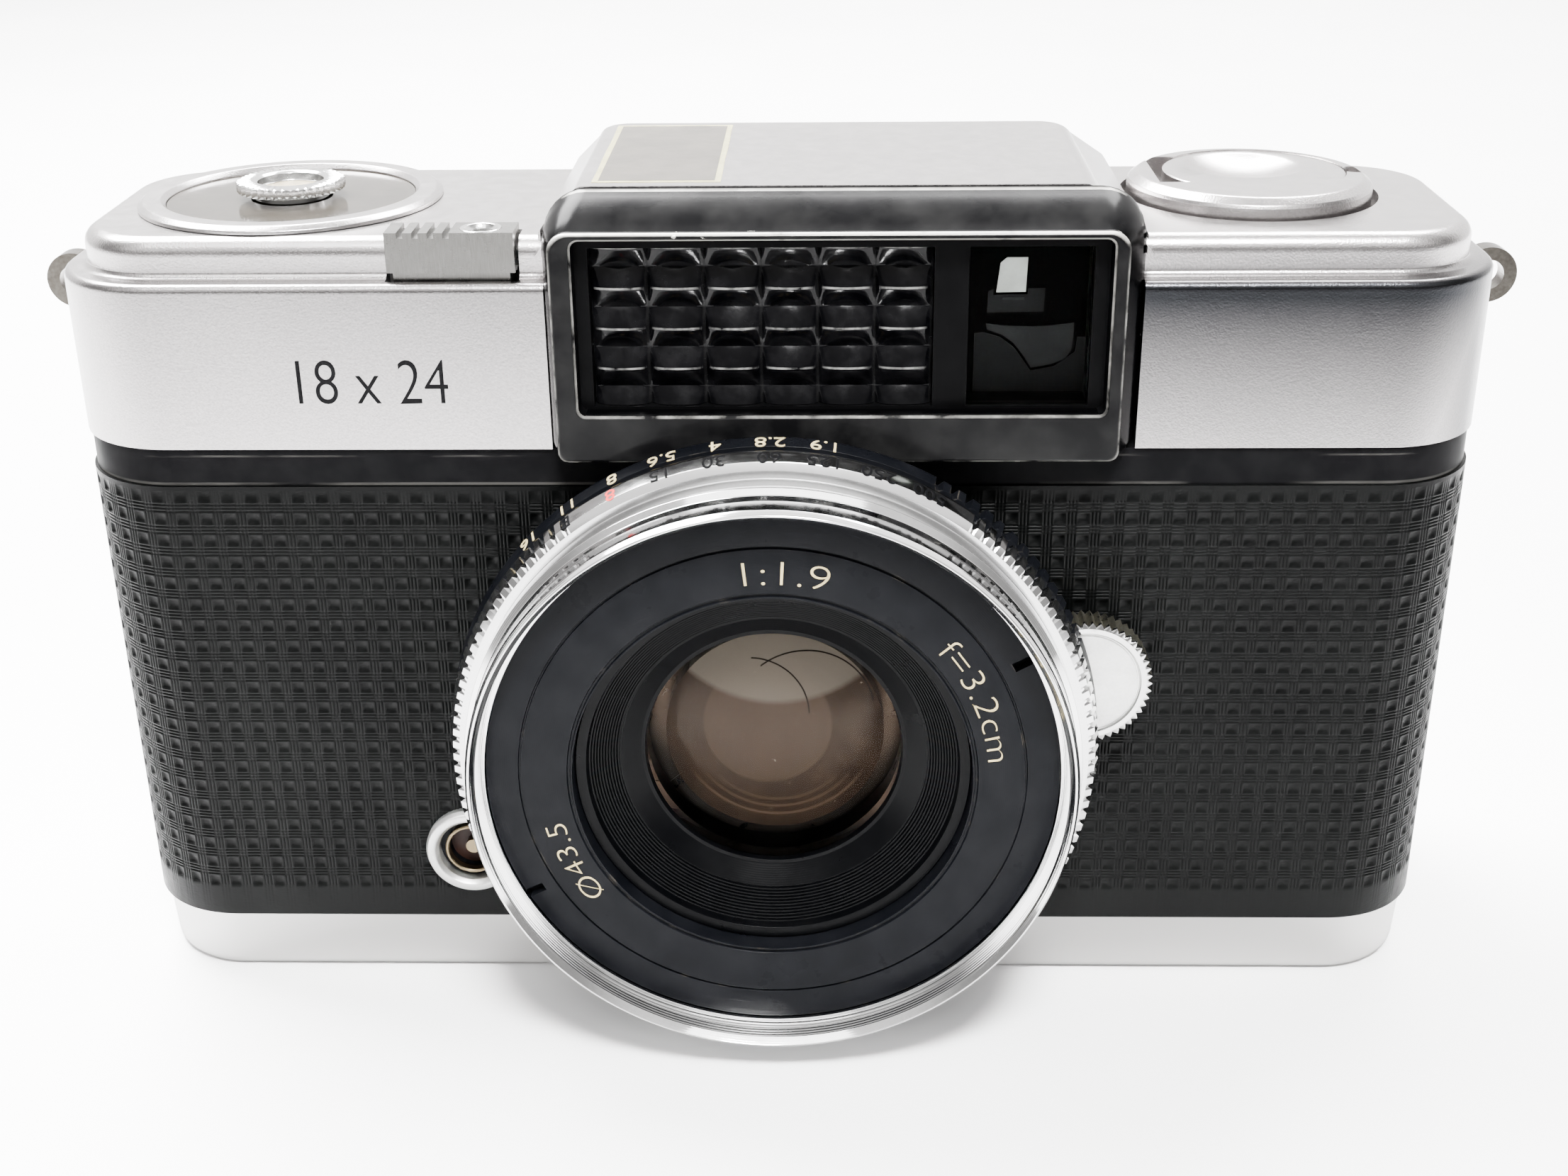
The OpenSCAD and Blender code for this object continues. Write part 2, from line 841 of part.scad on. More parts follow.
module focus_ring() {
    color(black)
        difference() {
            turned([[16.2 + run, 1.05], [22.4, 1.05], [22.4, 4.1], [16.2 + run, 4.1]]);
            ahead(knob_x, knob_z, 1.7, 5, focus_knob_r + 0.2);
        }
    // ear that carries the knob
    color(black)
        difference() {
            ahead(knob_x, knob_z, 1.05, 1.65, 4.2);
            turned([[0, 0.5], [22.35, 0.5], [22.35, 3], [0, 3]]);
        }
}

module focus_knob() {
    color(chrome)
        translate([knob_x, front - 1.75, knob_z])
            rotate([90, 0, 0])
                difference() {
                    linear_extrude(2.45)
                        polygon(knurl_outline(focus_knob_r - 0.4, focus_knob_r, 40));
                    translate([0, 0, 2.15])
                        cylinder(h = 1, r = focus_knob_r - 1);
                }
}

module shutter_case() {
    // pivots of the blades
    color(chrome)
        for (i = [0 : 4])
            ahead(blade_pivot_r * cos(72 * i), lens_z + blade_pivot_r * sin(72 * i), -1.25, 1.1, 0.4);
    color(black)
        turned([[8, -8], [9.2, -8], [9.2, -6], [14.95, -6], [14.95, 4.3], [21.7, 4.3], [21.7, 8.4],
            [14.6, 8.4], [14.6, 1.5], [13.2, 1.5], [13.2, -1.2], [8, -1.2]]);
}

module aperture_ring() {
    color(black)
        difference() {
            turned([[21.7 + run, 4.45], [aperture_ring_r, 4.45], [aperture_ring_r, 4.7],
                [aperture_ring_r - 0.3, 5.6], [aperture_ring_r - 0.6, 5.6], [aperture_ring_r - 0.6, 6.7],
                [21.7 + run, 6.7]]);
            // finger ribs on the right
            for (a = [20 : 3 : 62])
                on_lens_axis()
                    rotate([0, 0, a])
                        translate([aperture_ring_r - 0.55, -0.3, 4 - front])
                            cube([2, 0.6, 1.6]);
        }
}

module speed_ring() {
    color(chrome)
        difference() {
            turned([[21.7 + run, 6.75], [speed_ring_r, 6.75], [speed_ring_r, 7.05], [23.3, 8.35],
                [21.7 + run, 8.35]]);
            // teeth on both sides, none at the top and bottom
            for (i = [0 : speed_teeth - 1]) {
                a = i * 360 / speed_teeth;
                if (abs(sin(a)) < 0.78)
                    on_lens_axis()
                        rotate([0, 0, a])
                            translate([speed_ring_r - 0.5, -0.26, 6 - front])
                                cube([2, 0.52, 4]);
            }
        }
}

module filter_ring() {
    color(chrome)
        turned([[20.95, 8.4], [22.6, 8.4], [22.6, 10.15], [22.3, 10.5], [22.1, 11.1],
            [22.1, lens_reach - 0.45], [21.85, lens_reach], [filter_r, lens_reach - 0.5],
            [filter_r, 11.05], [20.95, 11.05]]);
}

module name_ring() {
    color(black)
        turned([[14.6, 8.4], [20.9, 8.4], [20.9, 10.7], [18.4, 10.9], [14.6, 10.9]]);
}

module front_cell() {
    color(black)
        turned([[9.65, 1.6], [14.5, 1.6], [14.5, 9.3], [9.65, 6.1]]);
}

// How far a spherical face of radius c drops back at a distance r from the axis
function sag(r, c) = sign(c) * (abs(c) - sqrt(c * c - r * r));

// A lens: r is its edge, d0 and d1 its back and front vertices, c0 and c1 their
// radii of curvature, positive where the centre is behind the lens
module glass(r, d0, d1, c0, c1) {
    steps = 10;
    color(clear)
        turned(concat(
            [for (i = [0 : steps]) [r * i / steps, d0 - sag(r * i / steps, c0)]],
            [for (i = [steps : -1 : 0]) [r * i / steps, d1 - sag(r * i / steps, c1)]]));
}

module front_element() {
    glass(9.55, 4.9, 7.6, 60, 25);
}

module front_doublet() {
    glass(8.2, 2.2, 4.6, 40, 22);
}

module rear_doublet() {
    glass(7.4, -4.8, -2.2, -40, 60);
}

module rear_element() {
    glass(7.8, -7.8, -5.4, -30, 80);
}

// One aperture blade: an arc that swings in about its pivot
module aperture_blade(i) {
    color(dark)
        on_lens_axis()
            rotate([0, 0, 72 * i])
                translate([blade_pivot_r, 0, 0.1 + i * blade_pitch - front])
                    rotate([0, 0, blade_rest])
                        translate([-blade_pivot_r, 0, 0])
                            linear_extrude(0.08)
                                difference() {
                                    union() {
                                        intersection() {
                                            circle(r = 11.5);
                                            polygon([[0, 0], [16, 0], [12, 16], [-8, 16]]);
                                        }
                                        translate([10.6, -0.7])
                                            square([blade_pivot_r - 10.6, 1.4]);
                                        translate([blade_pivot_r, 0])
                                            circle(r = 0.8);
                                    }
                                    circle(r = 6.6);
                                    translate([blade_pivot_r, 0])
                                        circle(r = 0.5);
                                }
}

module aperture_blade_1() {
    aperture_blade(0);
}

module aperture_blade_2() {
    aperture_blade(1);
}

module aperture_blade_3() {
    aperture_blade(2);
}

module aperture_blade_4() {
    aperture_blade(3);
}

module aperture_blade_5() {
    aperture_blade(4);
}

// Five leaves that close the light path, each in its own plane
module shutter_blades() {
    color(dark)
        for (i = [0 : 4])
            on_lens_axis()
                rotate([0, 0, 72 * i])
                    translate([0, 0, -1 + i * blade_pitch - front])
                        linear_extrude(0.08)
                            difference() {
                                union() {
                                    polygon([[-0.8, -0.8], [11.9, -0.7], [12.3, 0.8], [8, 7.5], [2, 8]]);
                                    translate([blade_pivot_r, 0])
                                        circle(r = 0.8);
                                }
                                translate([blade_pivot_r, 0])
                                    circle(r = 0.5);
                            }
}

// ---------- one line a node ----------

main_casting();
top_cover();
window_frame();
selenium_window();
selenium_cell();
finder_window();
finder_tunnel();
finder_eyepiece();
meter_window();
meter_movement();
meter_needle();
counter_bezel();
counter_window();
counter_dial();
counter_knob();
release_bar();
release_plunger();
release_spring();
rewind_knob();
rewind_crank();
rewind_shaft();
rewind_collar();
advance_wheel();
advance_gear();
takeup_spool();
sprocket();
front_leatherette();
strap_lugs();
pc_socket_shell();
pc_socket_insulator();
pc_socket_pin();
cover_screws();
lens_mount();
focus_ring();
focus_knob();
shutter_case();
aperture_ring();
speed_ring();
filter_ring();
name_ring();
front_cell();
front_element();
front_doublet();
rear_doublet();
rear_element();
aperture_blade_1();
aperture_blade_2();
aperture_blade_3();
aperture_blade_4();
aperture_blade_5();
shutter_blades();
bottom_cover();
back_panel();
back_leatherette();
pressure_plate();
tripod_socket();
lock_key();
lock_handle();
rewind_button();
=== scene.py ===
"""Looks of the half frame camera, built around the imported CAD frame, in millimetres."""
from math import atan, cos, degrees, pi, radians, sin, sqrt, tan

import bmesh
import bpy
from mathutils import Matrix, Vector

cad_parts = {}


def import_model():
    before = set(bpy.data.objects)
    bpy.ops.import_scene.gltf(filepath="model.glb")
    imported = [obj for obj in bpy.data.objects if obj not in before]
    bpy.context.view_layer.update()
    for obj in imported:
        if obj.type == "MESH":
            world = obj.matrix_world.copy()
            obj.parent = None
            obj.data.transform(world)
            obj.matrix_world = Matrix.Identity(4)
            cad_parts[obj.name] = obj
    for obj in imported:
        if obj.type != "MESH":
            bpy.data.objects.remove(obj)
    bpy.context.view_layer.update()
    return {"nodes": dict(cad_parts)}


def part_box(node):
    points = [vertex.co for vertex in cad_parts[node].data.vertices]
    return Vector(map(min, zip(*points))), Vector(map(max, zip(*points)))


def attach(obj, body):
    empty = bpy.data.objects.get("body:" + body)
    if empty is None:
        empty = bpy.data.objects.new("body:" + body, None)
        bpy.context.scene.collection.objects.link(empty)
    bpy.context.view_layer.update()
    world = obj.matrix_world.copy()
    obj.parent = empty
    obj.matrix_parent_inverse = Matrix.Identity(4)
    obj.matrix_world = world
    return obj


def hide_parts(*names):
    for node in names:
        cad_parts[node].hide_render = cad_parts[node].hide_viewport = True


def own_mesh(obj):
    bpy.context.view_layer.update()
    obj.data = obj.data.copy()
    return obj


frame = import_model()
NODES = frame["nodes"]
MM = 0.001


def box(node):
    low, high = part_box(node)
    return low / MM, high / MM


# ---------- places read from the frame ----------

COVER_LOW, COVER_HIGH = box("top_cover")
SIDE = COVER_HIGH.x
FRONT = box("front_leatherette")[0].y
BACK = -FRONT
CORNER = 8.1
COVER_Z = COVER_LOW.z
HUMP_Z = COVER_HIGH.z
SHOULDER_Z = 58.7
TOP_Z = 61.6
BASE_H = box("bottom_cover")[1].z
LEATHER_LOW = box("front_leatherette")[0].z
LEATHER_TOP = box("front_leatherette")[1].z
FILTER_LOW, FILTER_HIGH = box("filter_ring")
LENS_Z = (FILTER_LOW.z + FILTER_HIGH.z) / 2
FRAME_LOW, FRAME_HIGH = box("window_frame")
CELL_LOW, CELL_HIGH = box("selenium_window")
CELL_WIDE = (CELL_HIGH.x - CELL_LOW.x) / 6
CELL_TALL = 2.93
CELL_ROW = 58.72
KNOB_LOW, KNOB_HIGH = box("focus_knob")
BEZEL_LOW, BEZEL_HIGH = box("counter_bezel")
REWIND_LOW, REWIND_HIGH = box("rewind_knob")
RELEASE_LOW, RELEASE_HIGH = box("release_bar")
SOCKET_LOW, SOCKET_HIGH = box("pc_socket_shell")


def middle(low, high):
    return (low + high) / 2


KNOB_AT = middle(KNOB_LOW, KNOB_HIGH)
SOCKET_AT = middle(SOCKET_LOW, SOCKET_HIGH)
REWIND_AT = (36.2, 0.8)
COUNTER_AT = (-37.2, -0.2)
KEY_AT = (36.2, 0)
BUTTON_AT = (-20.6, 4.2)
RELEASE_AT = (-20.7, -12.0)
EYEPIECE = (14.9, 21.1, 54.1, 57.7)


# ---------- materials ----------

class Graph:
    """Short ways to build shader nodes in one tree."""

    def __init__(self, tree):
        self.tree = tree

    def node(self, kind, **values):
        made = self.tree.nodes.new("ShaderNode" + kind)
        for key, value in values.items():
            setattr(made, key, value)
        return made

    def put(self, socket, value):
        if hasattr(value, "is_output"):
            self.tree.links.new(value, socket)
        else:
            socket.default_value = value

    def maths(self, operation, a, b=0.0, clamp=False):
        made = self.node("Math", operation=operation, use_clamp=clamp)
        self.put(made.inputs[0], a)
        self.put(made.inputs[1], b)
        return made.outputs[0]

    def plus(self, a, b):
        return self.maths("ADD", a, b)

    def minus(self, a, b):
        return self.maths("SUBTRACT", a, b)

    def times(self, a, b, clamp=False):
        return self.maths("MULTIPLY", a, b, clamp)

    def largest(self, a, b, clamp=False):
        return self.maths("MAXIMUM", a, b, clamp)

    def away(self, value, centre):
        return self.maths("ABSOLUTE", self.minus(value, centre))

    def length(self, a, b):
        return self.maths("SQRT", self.plus(self.times(a, a), self.times(b, b)))

    def steps(self, value, low, high, to_low=0.0, to_high=1.0, **values):
        """Maps value from low..high to to_low..to_high."""
        made = self.node("MapRange", **values)
        self.put(made.inputs["Value"], value)
        for key, number in (("From Min", low), ("From Max", high), ("To Min", to_low), ("To Max", to_high)):
            made.inputs[key].default_value = number
        return made.outputs[0]

    def axes(self, vector):
        split = self.node("SeparateXYZ")
        self.put(split.inputs[0], vector)
        return list(split.outputs)


class Paint(Graph):
    """A node material built round one Principled shader, with textures in millimetres."""

    def __init__(self, name, **constants):
        self.material = bpy.data.materials.new(name)
        self.material.use_nodes = True
        super().__init__(self.material.node_tree)
        self.shader = self.tree.nodes["Principled BSDF"]
        self.heights = []
        for key, value in constants.items():
            self.shader.inputs[key.replace("_", " ")].default_value = value
        self.place = self.node("TexCoord").outputs["Object"]

    def colour(self, value):
        self.put(self.shader.inputs["Base Color"], value)

    def rough(self, value):
        self.put(self.shader.inputs["Roughness"], value)

    def noise(self, size, detail=3.0, stretch=(1, 1, 1)):
        """Noise whose features are about size millimetres across, longer along an axis with a stretch."""
        mapping = self.node("Mapping")
        self.put(mapping.inputs["Vector"], self.place)
        mapping.inputs["Scale"].default_value = [1 / (s * size * MM) for s in stretch]
        made = self.node("TexNoise")
        self.put(made.inputs["Vector"], mapping.outputs[0])
        for key, value in (("Scale", 1.0), ("Detail", detail), ("Roughness", 0.55)):
            made.inputs[key].default_value = value
        return made.outputs["Fac"]

    def clouds(self, size, detail=5, low=0.35, high=0.7):
        """Patches from 0 to 1, about size millimetres across."""
        return self.steps(self.noise(size, detail), low, high)

    def smear(self, size, low, spread):
        """A value from low to low + spread in patches."""
        return self.plus(self.times(self.clouds(size, 5, 0.3, 0.7), spread), low)

    def rings(self, spacing):
        """Fine turned lines round the optical axis."""
        x, _, z = self.axes(self.place)
        radius = self.length(self.minus(x, 0 * MM), self.minus(z, LENS_Z * MM))
        return self.maths("SINE", self.times(radius, 2 * pi / (spacing * MM)))

    def blend(self, factor, a, b):
        """Mixes two colours, each an output or three numbers."""
        made = self.node("Mix", data_type="RGBA")
        self.put(made.inputs["Factor"], factor)
        for key, value in (("A", a), ("B", b)):
            self.put(made.inputs[key], value if hasattr(value, "is_output") else (*value, 1))
        return made.outputs["Result"]

    def bump(self, height, depth):
        """Adds a bump of depth millimetres."""
        self.heights.append((height, depth))

    def worn_edge(self, reach, threshold):
        """A mask that is bright on sharp edges, broken up by noise."""
        rounded = self.node("Bevel", samples=6)
        rounded.inputs["Radius"].default_value = reach * MM
        shape = self.node("NewGeometry")
        turn = self.node("VectorMath", operation="DOT_PRODUCT")
        self.put(turn.inputs[0], rounded.outputs[0])
        self.put(turn.inputs[1], shape.outputs["Normal"])
        edge = self.steps(turn.outputs["Value"], 0.995, 0.80)
        return self.times(edge, self.clouds(1.6, 4, threshold, threshold + 0.12), clamp=True)

    def finish(self):
        normal = None
        for height, depth in self.heights:
            made = self.node("Bump")
            made.inputs["Strength"].default_value = 1.0
            made.inputs["Distance"].default_value = depth * MM
            self.put(made.inputs["Height"], height)
            if normal is not None:
                self.put(made.inputs["Normal"], normal)
            normal = made.outputs[0]
        if normal is not None:
            self.put(self.shader.inputs["Normal"], normal)
        return self.material


def metal(name, colour, low_rough, high_rough, grain=0.0, grain_size=0.12, tint=None, stretch=(1, 1, 1)):
    paint = Paint(name, Metallic=1.0)
    mottle = paint.noise(6.0, 4)
    fine = paint.noise(grain_size, 2, stretch)
    factor = paint.steps(paint.plus(paint.times(mottle, 0.35),
                                     paint.times(fine, 0.65)), 0.30, 0.72)
    paint.colour(paint.blend(factor, colour, tint or [c * 0.9 for c in colour]))
    paint.rough(paint.smear(1.4, low_rough, high_rough - low_rough))
    if grain:
        paint.bump(fine, grain)
    return paint


def plain_metal(*values):
    return metal(*values).finish()


def satin_chrome():
    """Blasted and plated brass: a fine even grain with a few scuffs, a painted lift of light on the bottom
    cover, and painted shade on the front right.
    """
    paint = Paint("satin_chrome", Metallic=1.0)
    fine = paint.noise(0.14, 2)
    mottle = paint.times(paint.noise(6.0, 4), 0.15)
    factor = paint.steps(paint.plus(mottle, paint.times(fine, 0.85)), 0.32, 0.70)
    body = paint.blend(factor, (0.56, 0.535, 0.53), (0.44, 0.425, 0.422))
    x, y, z = paint.axes(paint.place)
    # painted light: below 6 mm, on the bottom cover, the chrome is painted lighter
    body = paint.blend(paint.steps(z, 6.0 * MM, 5.6 * MM), body, (0.74, 0.73, 0.72))
    # painted shade: the front right of the cover, higher up and round its right corner, is painted near
    # black
    right = paint.plus(paint.times(paint.steps(x, -4 * MM, 24 * MM), 0.48), 0.34)
    right = paint.plus(right, paint.times(paint.steps(x, -38 * MM, -20 * MM), 0.18))
    ahead = paint.steps(y, 2 * MM, -10 * MM)
    corner = paint.times(paint.steps(x, 46.5 * MM, 51 * MM), 0.90)
    raised = paint.largest(paint.steps(z, 41 * MM, 57.5 * MM), corner, clamp=True)
    wall = paint.times(paint.steps(z, 44 * MM, 45 * MM), paint.steps(z, 59.2 * MM, 58.5 * MM))
    painted_front_shade = paint.times(paint.times(right, ahead), wall)
    paint.colour(paint.blend(paint.times(painted_front_shade, raised, clamp=True), body, (0.030, 0.031, 0.034)))
    paint.rough(paint.smear(1.4, 0.20, 0.05))
    paint.bump(fine, 0.016)
    paint.bump(paint.steps(paint.noise(2.2, 6, (1.0, 1.0, 0.35)), 0.66, 0.74), 0.004)
    return paint.finish()


def polished_chrome():
    paint = metal("polished_chrome", (0.74, 0.74, 0.73), 0.07, 0.18, 0.0015, 0.3)
    paint.bump(paint.steps(paint.noise(0.8, 6, (1.0, 1.0, 0.3)), 0.68, 0.72), 0.004)
    return paint.finish()


def turned_chrome():
    paint = metal("turned_chrome", (0.94, 0.94, 0.94), 0.06, 0.12, 0.0006, 0.3)
    paint.bump(paint.rings(0.11), 0.0008)
    return paint.finish()


def brushed_steel():
    """The release bar: dull nickel with upright scratches."""
    paint = metal("brushed_steel", (0.165, 0.162, 0.155), 0.24, 0.32, 0.005, 0.10, (0.115, 0.112, 0.106),
                  (1.0, 1.0, 12.0))
    return paint.finish()


def enamel():
    """Glossy black enamel over brass, rubbed through to bright metal on its rim and its back edge, with
    painted shade inside the recess.
    """
    paint = Paint("black_enamel", Specular_IOR_Level=0.06)
    _, depth, height = paint.axes(paint.place)

    def near(value, centre, half):
        return paint.steps(paint.away(value, centre * MM), half * MM, half * 0.55 * MM)

    patchy = paint.noise(1.9, 5)
    high = paint.steps(height, 62.2 * MM, 62.7 * MM)
    lifted = paint.plus(patchy, paint.times(high, 0.22))
    rim = paint.times(near(depth, FRAME_LOW.y + 0.19, 0.16), paint.steps(lifted, 0.36, 0.62))
    heavy = paint.times(near(depth, FRAME_LOW.y + 0.35, 0.50), paint.steps(lifted, 0.86, 0.875))
    roof = paint.times(near(depth, FRONT + 1.38, 0.14), paint.steps(height, 64.5 * MM, 64.9 * MM))
    roof = paint.times(roof, paint.plus(paint.times(patchy, 0.7), 0.1))
    mask = paint.largest(paint.largest(rim, heavy), roof, clamp=True)
    dim = paint.plus(paint.times(high, 0.65), 0.35)
    mask = paint.times(mask, dim)
    # painted shade: inside the window recess, below the top rim, the enamel is painted darker
    inside = paint.times(paint.steps(depth, (FRAME_LOW.y + 0.4) * MM, (FRAME_LOW.y + 0.7) * MM),
                         paint.steps(height, 62.9 * MM, 62.6 * MM))
    dust = paint.blend(paint.clouds(3.0, 6, 0.4, 0.7), (0.0022, 0.0022, 0.0024), (0.007, 0.007, 0.007))
    dust = paint.blend(inside, dust, (0.0004, 0.0004, 0.0005))
    paint.colour(paint.blend(mask, dust, (0.44, 0.43, 0.40)))
    paint.put(paint.shader.inputs["Metallic"], paint.times(mask, 0.8))
    paint.rough(paint.plus(paint.smear(4.0, 0.16, 0.10), paint.times(mask, 0.2)))
    paint.bump(paint.noise(0.5, 4), 0.004)
    paint.bump(mask, -0.015)
    return paint.finish()


def anodised(name, scale, wear):
    """Satin black anodised aluminium with faint turning and worn edges."""
    paint = Paint(name, Specular_IOR_Level=0.042)
    worn = paint.times(paint.worn_edge(0.14, 0.60), wear)
    # a scale below 1 paints the black darker, as painted shade
    dark, light = ([c * scale for c in colour]
                   for colour in ((0.0013, 0.0015, 0.0021), (0.0030, 0.0032, 0.0040)))
    body = paint.blend(paint.clouds(2.5), dark, light)
    paint.colour(paint.blend(worn, body, (0.16, 0.14, 0.11)))
    paint.rough(paint.smear(3.0, 0.26, 0.12))
    paint.bump(paint.rings(0.14), 0.0008)
    return paint.finish()


def band_paint():
    """The painted casting: semi-gloss black, with painted highlight lines along the two seams."""
    paint = Paint("black_band", Specular_IOR_Level=0.012)
    height = paint.axes(paint.place)[2]
    # painted highlight: lighter lines along the two seams, broken up by noise
    lower = paint.steps(paint.away(height, 43.5 * MM), 0.16 * MM, 0.05 * MM)
    upper = paint.steps(paint.away(height, 45.7 * MM), 0.10 * MM, 0.04 * MM)
    broken = paint.steps(paint.noise(3.2, 5, (4.0, 4.0, 1.0)), 0.46, 0.60)
    edge = paint.times(paint.largest(lower, upper), broken, clamp=True)
    body = paint.blend(paint.clouds(2.0, 5, 0.4, 0.7), (0.0026, 0.0026, 0.0029), (0.0045, 0.0045, 0.0048))
    paint.colour(paint.blend(edge, body, (0.035, 0.034, 0.032)))
    paint.rough(paint.smear(3.0, 0.36, 0.14))
    paint.bump(paint.noise(0.4, 4), 0.003)
    return paint.finish()


def cell_plastic():
    """Clear black lenslets: a painted highlight along each ridge."""
    paint = Paint("cell_lens", Specular_IOR_Level=0.07)
    x, _, z = paint.axes(paint.place)
    row = paint.maths("DIVIDE", paint.minus(z, CELL_ROW * MM), CELL_TALL * MM)
    row = paint.maths("FRACT", paint.plus(row, 10.5))
    column = paint.maths("DIVIDE", paint.minus(x, CELL_LOW.x * MM), CELL_WIDE * MM)
    column = paint.maths("FRACT", column)
    # painted highlight: a line of lighter colour along the middle of each ridge
    off_ridge = paint.away(row, 0.5)
    off_middle = paint.away(column, 0.48)
    line = paint.times(paint.steps(off_ridge, 0.034, 0.016), paint.steps(off_middle, 0.43, 0.30))
    line = paint.times(line, paint.clouds(0.9, 4, 0.30, 0.62), clamp=True)
    edge = paint.times(paint.steps(off_middle, 0.462, 0.492), 0.5, clamp=True)
    haze = paint.clouds(1.6, 5, 0.42, 0.75)
    body = paint.blend(haze, (0.0005, 0.0005, 0.0007), (0.0030, 0.0030, 0.0033))
    body = paint.blend(edge, body, (0.006, 0.006, 0.006))
    paint.colour(paint.blend(line, body, (0.13, 0.13, 0.125)))
    paint.rough(paint.plus(paint.times(haze, 0.10), 0.08))
    paint.bump(paint.noise(0.5, 4), 0.006)
    return paint.finish()


def leather():
    """Moulded leatherette: soft black with a fine fibrous grain."""
    paint = Paint("leatherette", Specular_IOR_Level=0.055)
    dusty = paint.clouds(9.0, 5, 0.35, 0.75)
    paint.colour(paint.blend(dusty, (0.0007, 0.0008, 0.0008), (0.0020, 0.0022, 0.0021)))
    paint.rough(paint.smear(1.2, 0.30, 0.16))
    paint.bump(paint.noise(0.20, 3, (2.0, 2.0, 0.6)), 0.014)
    paint.bump(paint.noise(0.9, 4), 0.02)
    return paint.finish()


def plastic(name, colour, rough, level=0.5):
    """Plastic, paint or ink with its specular level."""
    paint = Paint(name, Specular_IOR_Level=level)
    light = [min(1, c * 1.6 + 0.0002) for c in colour]
    factor = paint.clouds(2.4, 5, 0.35, 0.75)
    paint.colour(paint.blend(factor, colour, light))
    paint.rough(paint.smear(1.5, rough, 0.08))
    paint.bump(paint.noise(0.4, 4), 0.002)
    return paint.finish()


def glass(name, colour, bend=1.5):
    paint = Paint(name, Transmission_Weight=1.0, IOR=bend, Roughness=0.0)
    dust = paint.clouds(0.9, 4, 0.70, 0.80)
    paint.colour(paint.blend(dust, colour, [min(1, c * 1.06) for c in colour]))
    return paint.finish()


def lens_depth():
    """The coated inner glasses: amber brown, with painted reflections: a pale sky reflection above, a
    lighter disc and low arcs.
    """
    paint = Paint("lens_depth", Specular_IOR_Level=0.10)
    x, _, z = paint.axes(paint.place)
    x = paint.maths("DIVIDE", x, MM)
    z = paint.minus(paint.maths("DIVIDE", z, MM), LENS_Z)

    def away(cx, cz):
        return paint.length(paint.minus(x, cx), paint.minus(z, cz))

    body = paint.blend(paint.clouds(2.6, 3), (0.017, 0.011, 0.0078), (0.027, 0.0185, 0.0135))
    # painted reflections: a lighter disc, a pale sky above and arcs low down
    disc = paint.steps(away(-0.5, 1.2), 4.9, 4.7)
    body = paint.blend(paint.times(disc, 0.45), body, (0.060, 0.045, 0.036))
    sky = paint.steps(away(0.3, 15.5), 12.6, 12.1)
    body = paint.blend(paint.times(sky, 0.85), body, (0.125, 0.122, 0.112))
    for reach, strength in ((7.4, 0.50), (6.6, 0.35), (5.9, 0.25)):
        painted_reflection_arc = paint.steps(paint.away(away(0.2, 0.6), reach), 0.20, 0.05)
        painted_reflection_arc = paint.times(painted_reflection_arc, paint.steps(z, -2.8, -5.2))
        body = paint.blend(paint.times(painted_reflection_arc, strength), body, (0.10, 0.075, 0.058))
    for cx, cz, r, left, foot in ((-1.6, 2.2, 4.2, -1.7, 2.2), (2.2, 1.6, 5.3, -1.0, 2.6)):
        hair = paint.steps(paint.away(away(cx, cz), r), 0.075, 0.035)
        inside = paint.times(paint.steps(x, left, left + 0.05), paint.steps(z, foot, foot + 0.05))
        body = paint.blend(paint.times(hair, inside), body, (0.004, 0.003, 0.003))
    specks = paint.clouds(0.42, 2, 0.745, 0.765)
    body = paint.blend(paint.times(specks, 0.6), body, (0.22, 0.21, 0.19))
    paint.colour(body)
    paint.rough(paint.plus(paint.times(disc, 0.02), 0.10))
    return paint.finish()


